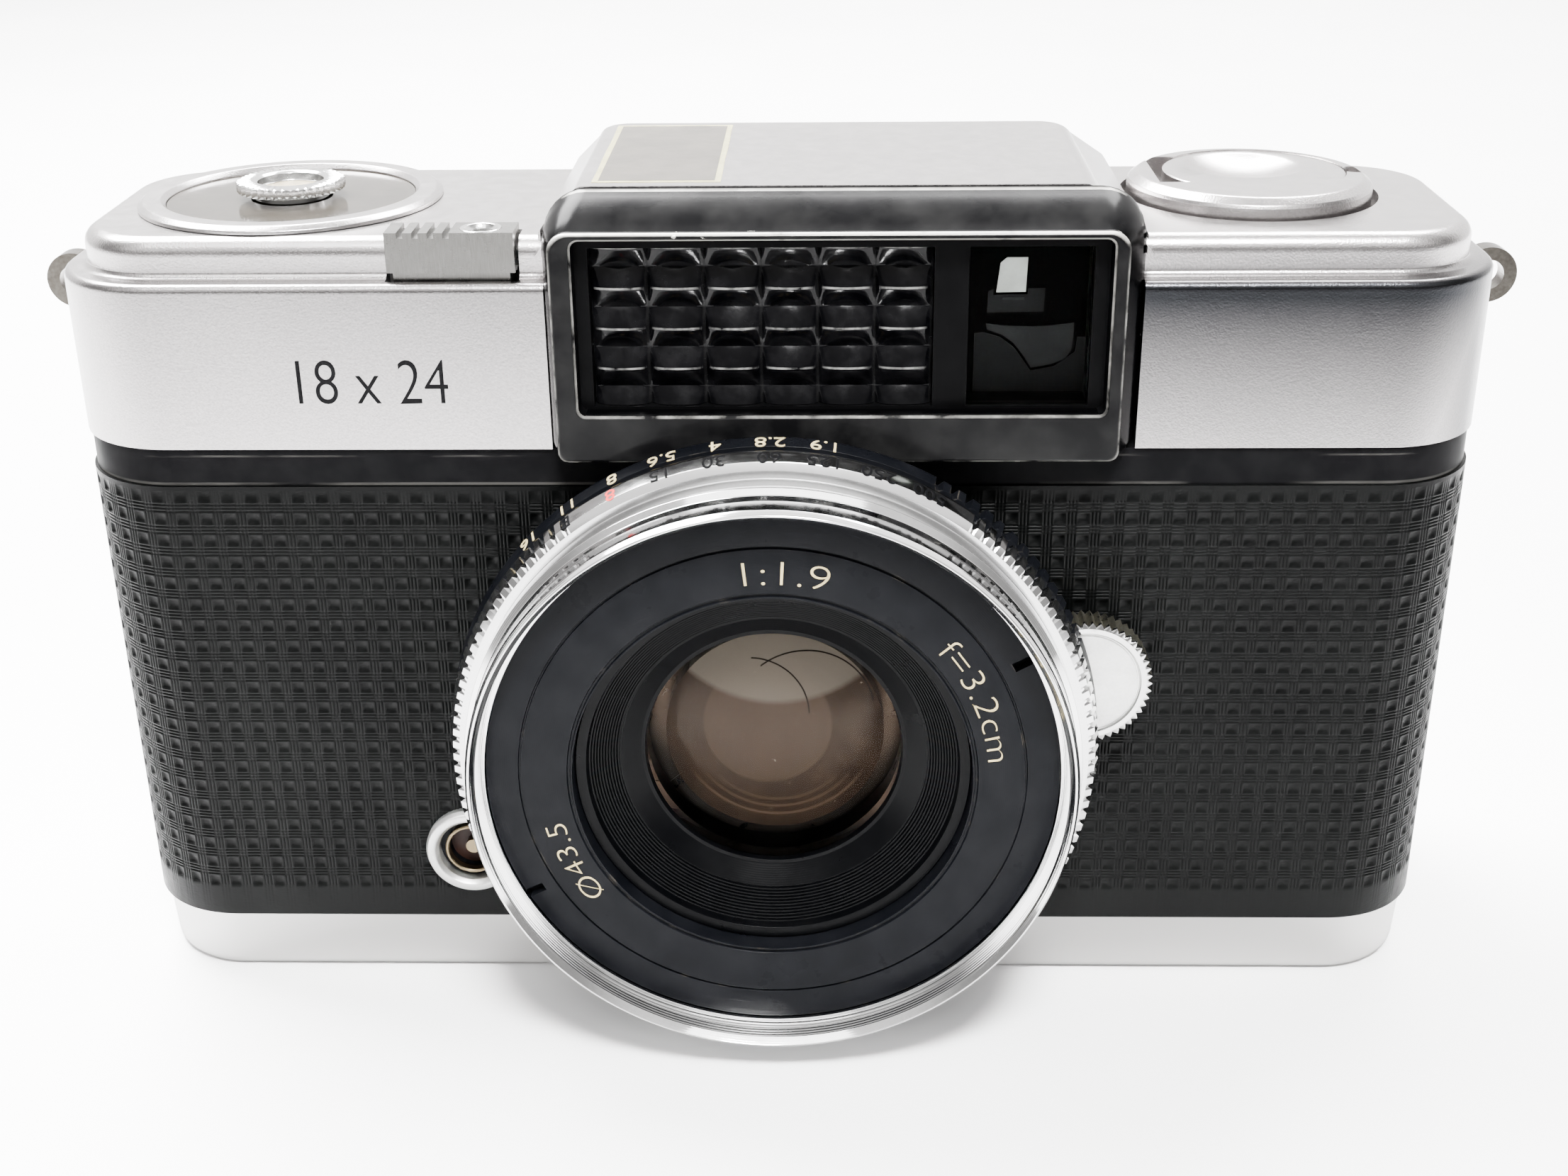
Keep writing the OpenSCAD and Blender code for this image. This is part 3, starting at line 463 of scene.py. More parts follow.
PAINT = {
    "satin": satin_chrome(),
    "polished": polished_chrome(),
    "turned": turned_chrome(),
    "dial_chrome": plain_metal("dial_chrome", (0.86, 0.86, 0.86), 0.10, 0.14),
    "enamel": enamel(),
    "anodised": anodised("black_anodised", 1.0, 0.4),
    # painted shade: the recessed cone takes the anodised black at a quarter, darker
    "cone": anodised("cone_black_painted_shade", 0.25, 0.0),
    "band": band_paint(),
    "leather": leather(),
    "brushed": brushed_steel(),
    "black_plastic": plastic("black_plastic", (0.005, 0.005, 0.005), 0.30, 0.3),
    "matt_black": plastic("matt_black", (0.0002, 0.0002, 0.0002), 0.6, 0.015),
    # painted shade: the recess walls take their own black made darker and duller
    "recess_black_painted_shade": plastic("recess_black_painted_shade", (0.0010, 0.0010, 0.0011), 0.3, 0.02),
    "finder_grey": plastic("finder_grey", (0.010, 0.010, 0.0105), 0.5, 0.1),
    "finder_dim": plastic("finder_dim", (0.004, 0.004, 0.0044), 0.5, 0.1),
    "finder_light": plastic("finder_light", (0.55, 0.56, 0.52), 0.5, 0.1),
    "cell": cell_plastic(),
    "insulator": plastic("insulator", (0.012, 0.005, 0.0035), 0.4, 0.1),
    "old_brass": plain_metal("old_brass", (0.16, 0.125, 0.075), 0.25, 0.4, 0.002, 0.3),
    "nickel": plain_metal("worn_nickel", (0.12, 0.112, 0.10), 0.16, 0.3, 0.002, 0.3, (0.065, 0.058, 0.048)),
    "steel": plain_metal("plain_steel", (0.45, 0.45, 0.46), 0.2, 0.35, 0.001, 0.3),
    "blade": plain_metal("blade_steel", (0.030, 0.024, 0.020), 0.25, 0.36, 0.001, 0.3),
    "brass": plain_metal("brass_gear", (0.62, 0.47, 0.22), 0.2, 0.32, 0.001, 0.3),
    "glass": glass("optical_glass", (0.93, 0.90, 0.86)),
    "amber_glass": glass("coated_glass", (0.90, 0.84, 0.78), 1.10),
    "lens_depth": lens_depth(),
    "dark_glass": plastic("eyepiece_glass", (0.006, 0.0062, 0.008), 0.04, 0.5),
    "window": glass("window_glass", (0.80, 0.82, 0.82), 1.03),
    "counter_window": plastic("window_plastic", (0.026, 0.023, 0.019), 0.10, 0.27),
    "meter_window": plastic("meter_window", (0.050, 0.044, 0.036), 0.16, 0.27),
    "aluminium": plain_metal("aluminium", (0.97, 0.97, 0.955), 0.34, 0.5, 0.003, 0.2, (0.80, 0.80, 0.775)),
    "knurl": plain_metal("olive_knurl", (0.40, 0.39, 0.33), 0.25, 0.4, 0.003, 0.2, (0.22, 0.21, 0.16)),
    "dial": plastic("dial_face", (0.55, 0.53, 0.50), 0.5),
    "glue": plastic("window_seal", (0.24, 0.225, 0.12), 0.35, 0.2),
    "selenium": plastic("selenium", (0.09, 0.06, 0.05), 0.35),
    "red": plastic("needle_red", (0.5, 0.04, 0.02), 0.5),
    "cream": plastic("cream_fill", (0.33, 0.27, 0.14), 0.5, 0.06),
    "dark_ink": plastic("dark_fill", (0.0015, 0.0015, 0.0018), 0.5, 0.06),
    "red_ink": plastic("red_fill", (0.45, 0.03, 0.03), 0.5, 0.06),
    "worn_brass": plain_metal("worn_brass", (0.34, 0.29, 0.20), 0.35, 0.5, 0.002, 0.3),
}


# ---------- making meshes ----------

def finish_mesh(name, bm, key, angle=35.0):
    bmesh.ops.remove_doubles(bm, verts=bm.verts, dist=1e-5)
    bmesh.ops.recalc_face_normals(bm, faces=bm.faces)
    data = bpy.data.meshes.new(name)
    bm.to_mesh(data)
    bm.free()
    data.transform(Matrix.Scale(MM, 4))
    made = bpy.data.objects.new(name, data)
    bpy.context.scene.collection.objects.link(made)
    if key:
        data.materials.append(PAINT[key])
    soften(made, angle)
    return made


def soften(made, angle=35.0):
    data = made.data
    data.polygons.foreach_set("use_smooth", [True] * len(data.polygons))
    data.set_sharp_from_angle(angle=radians(angle))


def from_lists(name, points, faces, key, angle=35.0):
    bm = bmesh.new()
    made = [bm.verts.new(p) for p in points]
    for face in faces:
        bm.faces.new([made[i] for i in face])
    return finish_mesh(name, bm, key, angle)


def loft(name, rings, key, angle=35.0, wrap=False):
    """Joins rings of points into a skin, and closes the two ends or joins them to each other."""
    count = len(rings[0])
    points = [p for ring in rings for p in ring]
    faces = []
    spans = len(rings) if wrap else len(rings) - 1
    for i in range(spans):
        a, b = i * count, (i + 1) % len(rings) * count
        for j in range(count):
            k = (j + 1) % count
            faces.append((a + j, a + k, b + k, b + j))
    if not wrap:
        faces.append(tuple(range(count)))
        last = (len(rings) - 1) * count
        faces.append(tuple(last + j for j in range(count)))
    return from_lists(name, points, faces, key, angle)


def plan(half, y0, y1, r, z):
    """A rounded rectangle in plan at height z."""
    corners = ((half - r, y1 - r, 0), (-half + r, y1 - r, 90), (-half + r, y0 + r, 180),
               (half - r, y0 + r, 270))
    return [(x, y, z) for cx, cy, start in corners for x, y in arc(cx, cy, r, start, start + 90, 12)]


def arc(cx, cy, r, a0, a1, steps):
    return [(cx + r * cos(radians(a0 + (a1 - a0) * i / steps)),
             cy + r * sin(radians(a0 + (a1 - a0) * i / steps))) for i in range(steps + 1)]


def rounded_corners(points, steps=4):
    """A closed outline from (a, b, fillet) points, with each corner rounded by its fillet."""
    out = []
    count = len(points)
    for i in range(count):
        a, b, r = points[i]
        before, after = points[i - 1], points[(i + 1) % count]
        here = Vector((a, b))
        u = Vector(before[:2]) - here
        v = Vector(after[:2]) - here
        if r <= 0 or u.length < 1e-9 or v.length < 1e-9:
            out.append((a, b))
            continue
        limit = 0.45 * min(u.length, v.length)
        u.normalize()
        v.normalize()
        half = u.angle(v) / 2
        reach = min(r / tan(half), limit)
        start, end = here + u * reach, here + v * reach
        for j in range(steps + 1):
            t = j / steps
            out.append(tuple(start * (1 - t) ** 2 + here * 2 * t * (1 - t) + end * t ** 2))
    return out


def lens_point(r, ahead, angle):
    return (r * cos(angle), FRONT - ahead, LENS_Z + r * sin(angle))


def turned(name, profile, key, steps=256, angle=35.0, place=lens_point, change=None, fillet_steps=4):
    """A ring turned from a closed profile of (radius, distance along the axis, fillet)."""
    outline = rounded_corners(profile, fillet_steps)
    rings = []
    for i in range(steps):
        a = 2 * pi * i / steps
        points = outline if change is None else [change(r, h, a, i) for r, h in outline]
        rings.append([place(r, h, a) for r, h in points])
    return loft(name, rings, key, angle, wrap=True)


def upright(cx, cy):
    return lambda r, h, a: (cx + r * cos(a), cy + r * sin(a), h)


def facing(centre, y):
    return lambda r, h, a: (centre.x + r * cos(a), y - h, centre.z + r * sin(a))


def solid_box(name, low, high):
    (x0, y0, z0), (x1, y1, z1) = low, high
    return loft(name, [[(x0, y0, z), (x1, y0, z), (x1, y1, z), (x0, y1, z)] for z in (z0, z1)], None, 20.0)


def solid_post(name, x, y, z0, z1, r, key=None, steps=96):
    turns = [2 * pi * i / steps for i in range(steps)]
    return loft(name, [[(x + r * cos(a), y + r * sin(a), z) for a in turns] for z in (z0, z1)], key)


def combine(target, tool, operation):
    """Applies a Boolean with a tool and removes the tool."""
    step = target.modifiers.new("join", "BOOLEAN")
    step.operation = operation
    step.solver = "EXACT"
    step.object = tool
    apply_modifiers(target)
    bpy.data.objects.remove(tool)


def evaluated_mesh(made):
    bpy.context.view_layer.update()
    graph = bpy.context.evaluated_depsgraph_get()
    return bpy.data.meshes.new_from_object(made.evaluated_get(graph), depsgraph=graph)


def apply_modifiers(target):
    fresh = evaluated_mesh(target)
    target.modifiers.clear()
    target.data = fresh


def cut(target, *tools):
    for tool in tools:
        combine(target, tool, "DIFFERENCE")


def flats(made):
    """Weights normals by face, so that flats stay flat."""
    made.modifiers.new("normals", "WEIGHTED_NORMAL").keep_sharp = True


def round_edges(made, width):
    """A bevel modifier in millimetres."""
    bevel = made.modifiers.new("edges", "BEVEL")
    bevel.width = width * MM
    bevel.segments = 2
    bevel.limit_method = "ANGLE"
    bevel.angle_limit = radians(40)
    flats(made)


def put(made, body, slot, *nodes):
    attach(made, body)
    if nodes:
        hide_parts(*nodes)
    return made


def put_cut(made, body, slot, *nodes):
    """Puts a piece that has been cut, after sorting out its edges and flats."""
    soften(made, 32)
    flats(made)
    put(made, body, slot, *nodes)


def lettering(name, text, size, key, place, depth, squeeze, offset=0.0):
    """Turns a word into a thin solid, and puts each point where place(x, y, height) says."""
    curve = bpy.data.curves.new(name, "FONT")
    curve.body = text
    curve.size = 1.0
    curve.extrude = 0.5
    curve.offset = offset
    curve.align_x = "CENTER"
    curve.align_y = "CENTER"
    curve.resolution_u = 5
    holder = bpy.data.objects.new(name + "_curve", curve)
    bpy.context.scene.collection.objects.link(holder)
    data = evaluated_mesh(holder)
    bpy.data.objects.remove(holder)
    for vert in data.vertices:
        x, y, z = vert.co
        vert.co = Vector(place(x * size * squeeze, y * size, z * depth)) * MM
    data.materials.clear()
    data.materials.append(PAINT[key])
    data.name = name
    made = bpy.data.objects.new(name, data)
    bpy.context.scene.collection.objects.link(made)
    return made


# ---------- top cover ----------

def cover_rings(inset, low):
    """The cover's outside from its seam up: wall, shoulder, upper tier and rounded top."""
    rings = []

    def ring(z, extra, back=0.0):
        pull = inset + extra
        rings.append(plan(SIDE - pull, FRONT + pull, BACK - pull - back, max(CORNER - pull, 1.0), z))

    ring(low, 0)
    ring(SHOULDER_Z - 0.75, 0)
    for px, pz in arc(0.6, SHOULDER_Z - 0.6, 0.6, 180, 96, 7):
        ring(pz, px, 0)
    ring(SHOULDER_Z + 0.02, 1.25, 0.6)
    for px, pz in arc(1.25, SHOULDER_Z + 0.62, 0.6, 270, 345, 5):
        ring(pz, px, 2.0)
    for px, pz in arc(3.05, TOP_Z - 1.25, 1.25, 185, 90, 9):
        ring(pz, px, 2.0)
    return rings


def cover_core(z0, z1, inset, back):
    rings = [plan(SIDE - inset, FRONT + inset, BACK - inset - back, CORNER - inset, z) for z in (z0, z1)]
    return loft("core", rings, None)


def hump_ring(z, out, r=1.6):
    """The hump's plan at height z, drawn out by a distance."""
    t = min(max((z - TOP_Z) / (HUMP_Z - TOP_Z), 0), 1)
    x0 = -15.8 + 2.0 * t - out
    x1 = 26.1 - 3.4 * t + out
    y0 = FRONT + 0.4
    y1 = 11.4 - 1.4 * t + out
    points = [(x1, y0, z)]
    for cx, cy, start in ((x1 - r, y1 - r, 0), (x0 + r, y1 - r, 90)):
        points += [(x, y, z) for x, y in arc(cx, cy, r, start, start + 90, 8)]
    points.append((x0, y0, z))
    return points


def make_cover():
    cover = loft("cover_shell", cover_rings(0, COVER_Z), "satin")
    rings = [hump_ring(TOP_Z - 1.0, 0.9)]
    for px, pz in arc(0.9, 0.9, 0.9, 270, 184, 6):
        rings.append(hump_ring(TOP_Z - 0.02 + pz, 0.9 - px))
    rings.append(hump_ring(HUMP_Z - 0.8, 0))
    for px, pz in arc(0.6, HUMP_Z - 0.6, 0.6, 175, 90, 7):
        rings.append(hump_ring(pz, -px, 1.6))
    combine(cover, loft("hump", rings, None), "UNION")
    hump_core = [hump_ring(z, -0.9 - k, 1.0) for z, k in ((TOP_Z - 2.0, 0), (HUMP_Z - 0.9, 0.6))]
    cut(cover,
        cover_core(COVER_Z - 1, SHOULDER_Z - 1.5, 0.9, 0),
        cover_core(SHOULDER_Z - 2.0, TOP_Z - 1.3, 2.9, 2.0),
        loft("hump_core", hump_core, None),
        solid_box("notch", (FRAME_LOW.x - 0.05, FRONT - 2, COVER_Z - 2),
                  (FRAME_HIGH.x + 0.05, FRONT + 1.8, HUMP_Z + 2)),
        solid_box("meter_hole", (-12.3, -11.3, TOP_Z), (-3.9, 8, HUMP_Z + 1)),
        solid_post("counter_hole", *COUNTER_AT, TOP_Z - 2, TOP_Z + 1, 10.6, steps=160),
        solid_post("rewind_hole", *REWIND_AT, TOP_Z - 1.6, TOP_Z + 1, 9.7, steps=160),
        solid_box("release_hole", (RELEASE_LOW.x - 0.2, RELEASE_LOW.y - 0.15, SHOULDER_Z - 3),
                  (RELEASE_HIGH.x + 0.2, RELEASE_HIGH.y + 0.3, TOP_Z + 1)),
        solid_box("wheel_hole", (-49.7, 8, 49.6), (-24.7, BACK + 1, 55.4)),
        solid_box("eyepiece_hole", (EYEPIECE[0], 9, EYEPIECE[2]), (EYEPIECE[1], BACK + 1, EYEPIECE[3])))
    put_cut(cover, "camera", "satin_chrome", "top_cover")
    shelf = solid_post("rewind_shelf", *REWIND_AT, TOP_Z - 2.4, TOP_Z - 1.6, 10.4, "satin", 128)
    cut(shelf, solid_post("bore", *REWIND_AT, TOP_Z - 4, TOP_Z, 1.95))
    put(shelf, "camera", "satin_chrome")


def make_eyepiece():
    """The eyepiece in the back wall of the cover: a black frame round a small glass."""

    def section(y, pull, r=0.5):
        x0, x1, z0, z1 = EYEPIECE
        return frame_section(y, x0 + pull, x1 - pull, z0 + pull, z1 - pull, r, r, 5)

    rings = [section(BACK + y, pull) for y, pull in (
        (-2.6, 0.0), (-0.02, 0.0), (0.12, 0.12), (0.12, 0.42), (-0.5, 0.75), (-2.6, 0.75))]
    put(loft("eyepiece_frame", rings, "black_plastic", 35, wrap=True), "camera", "black_plastic")
    rings = [section(BACK + y, pull, 0.3) for y, pull in ((-1.9, 0.74), (-0.75, 0.74), (-0.68, 0.95))]
    put(loft("eyepiece_glass", rings, "dark_glass", 35), "camera", "optical_glass", "finder_eyepiece")


def make_base():
    """Bottom cover: a bright lip at the seam, sides that draw in, a rounded foot."""
    rings = []

    def ring(z, pull):
        rings.append(plan(SIDE - pull, FRONT + pull, BACK - pull, CORNER - pull, z))

    ring(BASE_H, 0.85)
    ring(BASE_H, 0.62)
    ring(BASE_H - 0.15, 0.48)
    ring(BASE_H - 0.5, 0.50)
    ring(1.2, 0.72)
    for px, pz in arc(1.72, 1.0, 1.0, 180, 270, 7):
        ring(pz, px)
    base = loft("base_shell", rings, "satin")
    cut(base,
        loft("core", [plan(SIDE - 1.6, FRONT + 1.6, BACK - 1.6, CORNER - 1.6, z)
                      for z in (1.0, BASE_H + 1)], None),
        solid_post("socket", 0, 0, -1, 2, 4.5),
        solid_post("key", *KEY_AT, -1, 2, 8.6),
        solid_post("button", *BUTTON_AT, -1, 2, 2.65))
    put_cut(base, "back", "satin_chrome", "bottom_cover")
    boss = solid_post("key_boss", *KEY_AT, 1.2, 2, 10.0, "satin", 96)
    cut(boss, solid_post("bore", *KEY_AT, 0, 3, 2.05))
    put(boss, "back", "satin_chrome")


# ---------- leatherette ----------

PITCH = 1.77


def skin_path(s):
    """A point on the body's plan and its outward normal, s along the skin from the middle of the front."""
    sign = 1 if s >= 0 else -1
    s = abs(s)
    flat = SIDE - CORNER
    bend = CORNER * pi / 2
    if s <= flat:
        return sign * s, FRONT, 0.0, -1.0
    if s <= flat + bend:
        a = (s - flat) / CORNER
        return sign * (flat + CORNER * sin(a)), FRONT + CORNER - CORNER * cos(a), sign * sin(a), -cos(a)
    return sign * SIDE, FRONT + CORNER + (s - flat - bend), sign * 1.0, 0.0


def cell_marks():
    """Where the surface bends across one cell, in pitches: (place, dimple, line)."""
    marks = []
    for edge, depth in ((-0.25, 0.0), (-0.19, 1.0), (0.15, 1.0), (0.25, 0.0)):
        marks.append((edge, depth, 0.0))
    for line in (0.35, 0.50, 0.65):
        for shift, depth in ((-0.05, 0.0), (0.0, 1.0), (0.05, 0.0)):
            marks.append((line + shift, 0.0, depth))
    return marks


def pattern_lines(start, end, cells, first):
    """Grid lines from start to end, with cells of the pattern beginning at first: (place, dimple, line)."""
    lines = [(start, 0.0, 0.0), (first - 0.42 * PITCH, 0.0, 0.0)]
    for i in range(cells):
        for offset, dimple, line in cell_marks():
            place = first + (i + offset) * PITCH
            if start + 0.05 < place < end - 0.05:
                lines.append((place, dimple, line))
    lines.append((end, 0.0, 0.0))
    return lines


def make_leather(name, mirror, body, node, holes=()):
    low, high = box(node)
    past_bend = (-low.y if mirror else high.y) - FRONT - CORNER
    reach = SIDE - CORNER + CORNER * pi / 2 + past_bend
    columns = pattern_lines(-reach, reach, 81, -40 * PITCH)
    columns = [columns[0]] + columns[2:]
    rows = pattern_lines(LEATHER_LOW, LEATHER_TOP, 20, LEATHER_LOW + 3.2)
    rows = [r for r in rows if r[0] < LEATHER_TOP - 0.6 or r[1] + r[2] == 0]
    first_row, last_row = LEATHER_LOW + 2.6, LEATHER_TOP - 0.75
    bm = bmesh.new()
    grid = []
    edge = 0.30

    def corner(s, z, deep):
        x, y, nx, ny = skin_path(s)
        x, y = x - nx * deep, y - ny * deep
        return bm.verts.new((x, -y if mirror else y, z))

    for z, row_dimple, row_line in rows:
        line = []
        for s, dimple, groove in columns:
            if not first_row < z < last_row:
                groove = 0.0
            deep = 0.015 + 0.155 * min(dimple, row_dimple) + 0.07 * max(groove, row_line)
            line.append(corner(s, z, deep))
        grid.append(line)
    for top, z in ((False, LEATHER_LOW), (True, LEATHER_TOP)):
        line = [corner(s, z + (0.03 if top else -0.09), 0.02 + edge) for s, _, _ in columns]
        grid.append(line) if top else grid.insert(0, line)
    for i in range(len(grid) - 1):
        for j in range(len(columns) - 1):
            quad = (grid[i][j], grid[i][j + 1], grid[i + 1][j + 1], grid[i + 1][j])
            centre = sum((v.co for v in quad), Vector()) / 4
            if any((centre.x - hx) ** 2 + (centre.z - hz) ** 2 < hr * hr and centre.y < FRONT + 2 for hx,
                   hz, hr in holes):
                continue
            bm.faces.new(quad)
    made = finish_mesh(name, bm, "leather", 60)
    put(made, body, "leatherette", node)


# ---------- window frame ----------

def frame_section(y, x0, x1, z0, z1, r_top, r_low, steps=8):
    """The frame's section across the camera at one distance ahead, with rounded corners."""
    points = []
    corners = ((x1, z1, r_top, 0), (x0, z1, r_top, 90), (x0, z0, r_low, 180), (x1, z0, r_low, 270))
    for cx, cz, r, start in corners:
        mx = cx - r if cx == x1 else cx + r
        mz = cz - r if cz == z1 else cz + r
        points += [(x, y, z) for x, z in arc(mx, mz, r, start, start + 90, steps)]
    return points


def make_window_frame():
    face, low = FRAME_LOW.y, FRAME_LOW.z
    left, right = FRAME_LOW.x, FRAME_HIGH.x
    sections = []
    for back, pull in ((0.0, 0.30), (0.05, 0.15), (0.14, 0.05), (0.28, 0.0), (0.75, 0.0)):
        sections.append(frame_section(face + back, left + 0.75 + pull, right - 1.55 - pull, low + pull,
                                      63.1 - pull, 1.4, 0.7))
    for back, pull, top in ((0.80, 0.16, 62.82), (1.0, 0.16, 62.84), (1.25, 0.05, 63.05)):
        sections.append(frame_section(face + back, left + 0.7 + pull, right - 1.5 - pull, low + pull / 2,
                                      top, 1.5, 0.7))
    for y, in_left, in_right, bottom, top, r in (
            (-1.2, 0.4, 0.95, low - 0.08, 63.75, 2.2), (-0.1, 0.05, 0.35, low - 0.12, 64.4, 2.8),
            (0.7, 0, 0, 47.0, 64.8, 3.1), (1.35, 0, 0, 47.0, 65.05, 3.2),
            (1.55, 0, 0, 47.0, HUMP_Z - 0.10, 3.3), (1.7, 0, 0, 47.0, HUMP_Z - 0.10, 3.3)):
        sections.append(frame_section(FRONT + y, left + in_left, right - in_right, bottom, top, r, 0.8))
    made = loft("window_surround", sections, "enamel", 32)
    recess = [frame_section(y, left + 2.4 + p, right - 2.65 - p, 49.85 + p, 62.55 - p, r, r, 6) for y, p,
              r in (
        (face - 1, -0.18, 0.7), (face, -0.18, 0.7), (face + 0.22, 0.0, 0.6), (FRONT - 1.5, 0.05, 0.6))]
    cut(made,
        loft("recess", recess, None),
        solid_box("cell_hole", (CELL_LOW.x - 0.05, FRONT - 4, CELL_LOW.z - 0.05),
                  (CELL_HIGH.x + 0.05, FRONT + 3, CELL_HIGH.z + 0.05)),
        solid_box("finder_hole", (13.9, FRONT - 4, 50.1), (22.6, FRONT + 3, 61.7)))
    soften(made, 32)
    # the recess walls get the darker black, a painted shade
    made.data.materials.append(PAINT["recess_black_painted_shade"])
    for side in made.data.polygons:
        x, y, z = side.center / MM
        if face + 0.3 < y < FRONT + 1.6 and 49.9 < z < 62.5 and left + 2.3 < x < right - 2.55:
            side.material_index = 1
    flats(made)
    put(made, "camera", "black_enamel", "window_frame")


def plate(name, outline, y, thick, key):
    """A thin upright plate from an outline of (x, z), seen from the front."""
    rings = [[(x, y + t, z) for x, z in outline] for t in (0, thick)]
    return loft(name, rings, key, 30)


def make_finder():
    """Painted plates behind the finder window: a black sheet as painted shade, a painted spot of eyepiece
    light and dim painted reflections.
    """
    back = FRONT + 1.5
    # painted shade: a black sheet stands in for the dark finder interior
    put(plate("finder_shade_sheet", [(13.2, 49.6), (23.3, 49.6), (23.3, 62.0), (13.2, 62.0)], back, 0.3,
              "matt_black"), "camera", "black_plastic")
    # painted light and reflections: flat plates painted with the eyepiece light, its glow and the dim
    # reflections seen through the finder
    light = [(16.06, 57.67), (18.15, 57.7), (18.23, 60.2), (16.75, 60.2), (16.3, 59.8)]
    glow = [(15.45, 56.15), (19.5, 56.2), (19.55, 57.9), (18.35, 57.9), (18.3, 57.45), (15.9, 57.45),
            (15.85, 57.9), (15.5, 57.7)]
    lip = [(16.5, 57.1), (18.1, 57.1), (18.05, 57.25), (16.6, 57.25)]
    curve = [(15.4, 55.36), (16.6, 55.2), (18.6, 55.12), (20.2, 55.2), (21.72, 55.4), (21.70, 54.4),
             (21.62, 53.4), (21.2, 52.7),
             (20.2, 52.3), (18.75, 52.02), (18.2, 52.9), (17.4, 53.9), (16.6, 54.5), (15.5, 54.9)]
    lower = [(14.6, 50.2), (23.0, 50.2), (23.0, 54.3), (22.0, 54.3), (21.9, 53.2), (20.4, 52.1),
             (18.7, 51.8), (17.5, 53.5),
             (16.5, 54.3), (15.2, 54.7), (14.6, 54.6)]
    for name, outline, key, ahead in (
            ("finder_painted_light_spot", light, "finder_light", 0.20), ("finder_painted_tube_glow", glow, "finder_dim", 0.10),
            ("finder_painted_lip_light", lip, "finder_grey", 0.15), ("finder_painted_grey_arc", curve, "finder_grey", 0.15),
            ("finder_painted_dim_floor", lower, "finder_dim", 0.10)):
        put(plate(name, outline, back - ahead, 0.08, key), "camera", "window_plastic")


def make_cell_window():
    """The lenslet window: six columns of pillow lenses, three full rows and two half rows."""
    x0, x1, z0, z1 = CELL_LOW.x, CELL_HIGH.x, CELL_LOW.z, CELL_HIGH.z
    parts = (0, .03, .07, .12, .18, .28, .4, .5, .6, .72, .82, .88, .93, .97)
    across = [x0 + CELL_WIDE * (i + t) for i in range(6) for t in parts] + [x1]
    bands = [z0]
    for i in range(-4, 3):
        for t in (-.5, -.47, -.42, -.34, -.24, -.14, -.07, -.035, 0, .035, .07, .14, .24, .34, .42, .47):
            z = CELL_ROW + (i + t) * CELL_TALL
            if z0 + 0.02 < z < z1 - 0.02:
                bands.append(z)
    bands.append(z1)
    surface = FRONT - 0.45

    def rise(x, z):
        u = 2 * abs(((x - x0) / CELL_WIDE) % 1 - 0.5)
        v = 2 * abs((((z - CELL_ROW) / CELL_TALL) + 0.5) % 1 - 0.5)
        pillow = 1 - 0.55 * u ** 2.2 - 0.45 * u ** 12
        return pillow * (0.62 - 0.62 * sqrt(v * v + 0.004) + 0.18 * (1 - v * v)) + 0.12

    points = [(x, surface - rise(x, z), z) for z in bands for x in across]
    count = len(across)
    faces = [(a, a + 1, a + count + 1, a + count) for j in range(len(bands) - 1)
             for a in range(j * count, j * count + count - 1)]
    put(from_lists("cell_lenslets", points, faces, "cell", 50), "camera", "cell_lens", "selenium_window")


# ---------- lens ----------

def ring_place(r0, ahead0, rise, angle_mid):
    """Bends lettering round the axis on a surface whose radius changes with rise per millimetre ahead."""
    slope = atan(rise)

    def place(x, y, h):
        a = angle_mid + x / r0
        ahead = ahead0 + y * cos(slope)
        r = r0 + (ahead - ahead0) * rise + h
        return lens_point(r, ahead, a)

    return place


def face_place(r0, ahead, angle_mid):
    """Puts lettering on a face that looks ahead, reading clockwise with its foot towards the axis."""

    def place(x, y, h):
        return lens_point(r0 + y, ahead + h, angle_mid - x / r0)

    return place


def make_filter_ring():
    reach = FRONT - FILTER_LOW.y
    profile = [(20.95, 8.4, 0), (22.6, 8.4, 0.12), (22.6, 10.0, 0.12), (22.18, 10.45, 0.25),
               (22.1, 11.2, 0.2),
               (22.1, reach - 0.5, 0.16), (21.86, reach, 0.12), (21.74, reach, 0.08),
               (21.46, reach - 0.42, 0.05)]
    turn = reach - 0.55
    while turn > 11.15:
        profile += [(21.38, turn, 0), (21.38, turn - 0.05, 0), (21.60, turn - 0.16, 0),
                    (21.38, turn - 0.27, 0)]
        turn -= 0.3
    profile += [(21.34, 11.05, 0), (20.95, 11.05, 0)]
    made = turned("filter_rim", profile, "turned", 288, 24)
    put(made, "lens_unit", "polished_chrome", "filter_ring")


MARKS_R = 16.45


def make_name_ring():
    profile = [(14.6, 8.4, 0), (20.9, 8.4, 0), (20.9, 10.72, 0.05), (18.55, 10.78, 0.02), (18.50, 10.62, 0),
               (18.40, 10.62, 0),
               (18.36, 10.84, 0.02), (15.0, 10.84, 0.05), (14.93, 10.66, 0), (14.78, 10.66, 0),
               (14.72, 10.84, 0.03), (14.6, 10.84, 0.03)]
    made = turned("name_plate_ring", profile, "anodised", 256, 24)
    for centre in (36, 216):
        cut(made, notch_tool(20.2, 10.5, radians(centre - 8)))
    soften(made, 24)
    put(made, "lens_unit", "black_anodised", "name_ring")
    for name, text, size, centre, squeeze in (
            ("ratio_mark", "1:1.9", 2.7, 87.0, 1.35), ("focal_mark", "f=3.2cm", 2.6, 23.5, 1.25),
            ("thread_mark", "Ø43.5", 2.3, 205.0, 1.25)):
        place = face_place(MARKS_R, 10.86, radians(centre))
        mark = lettering(name, text, size, "cream", place, 0.06, squeeze, offset=-0.022)
        put(mark, "lens_unit", "black_anodised")


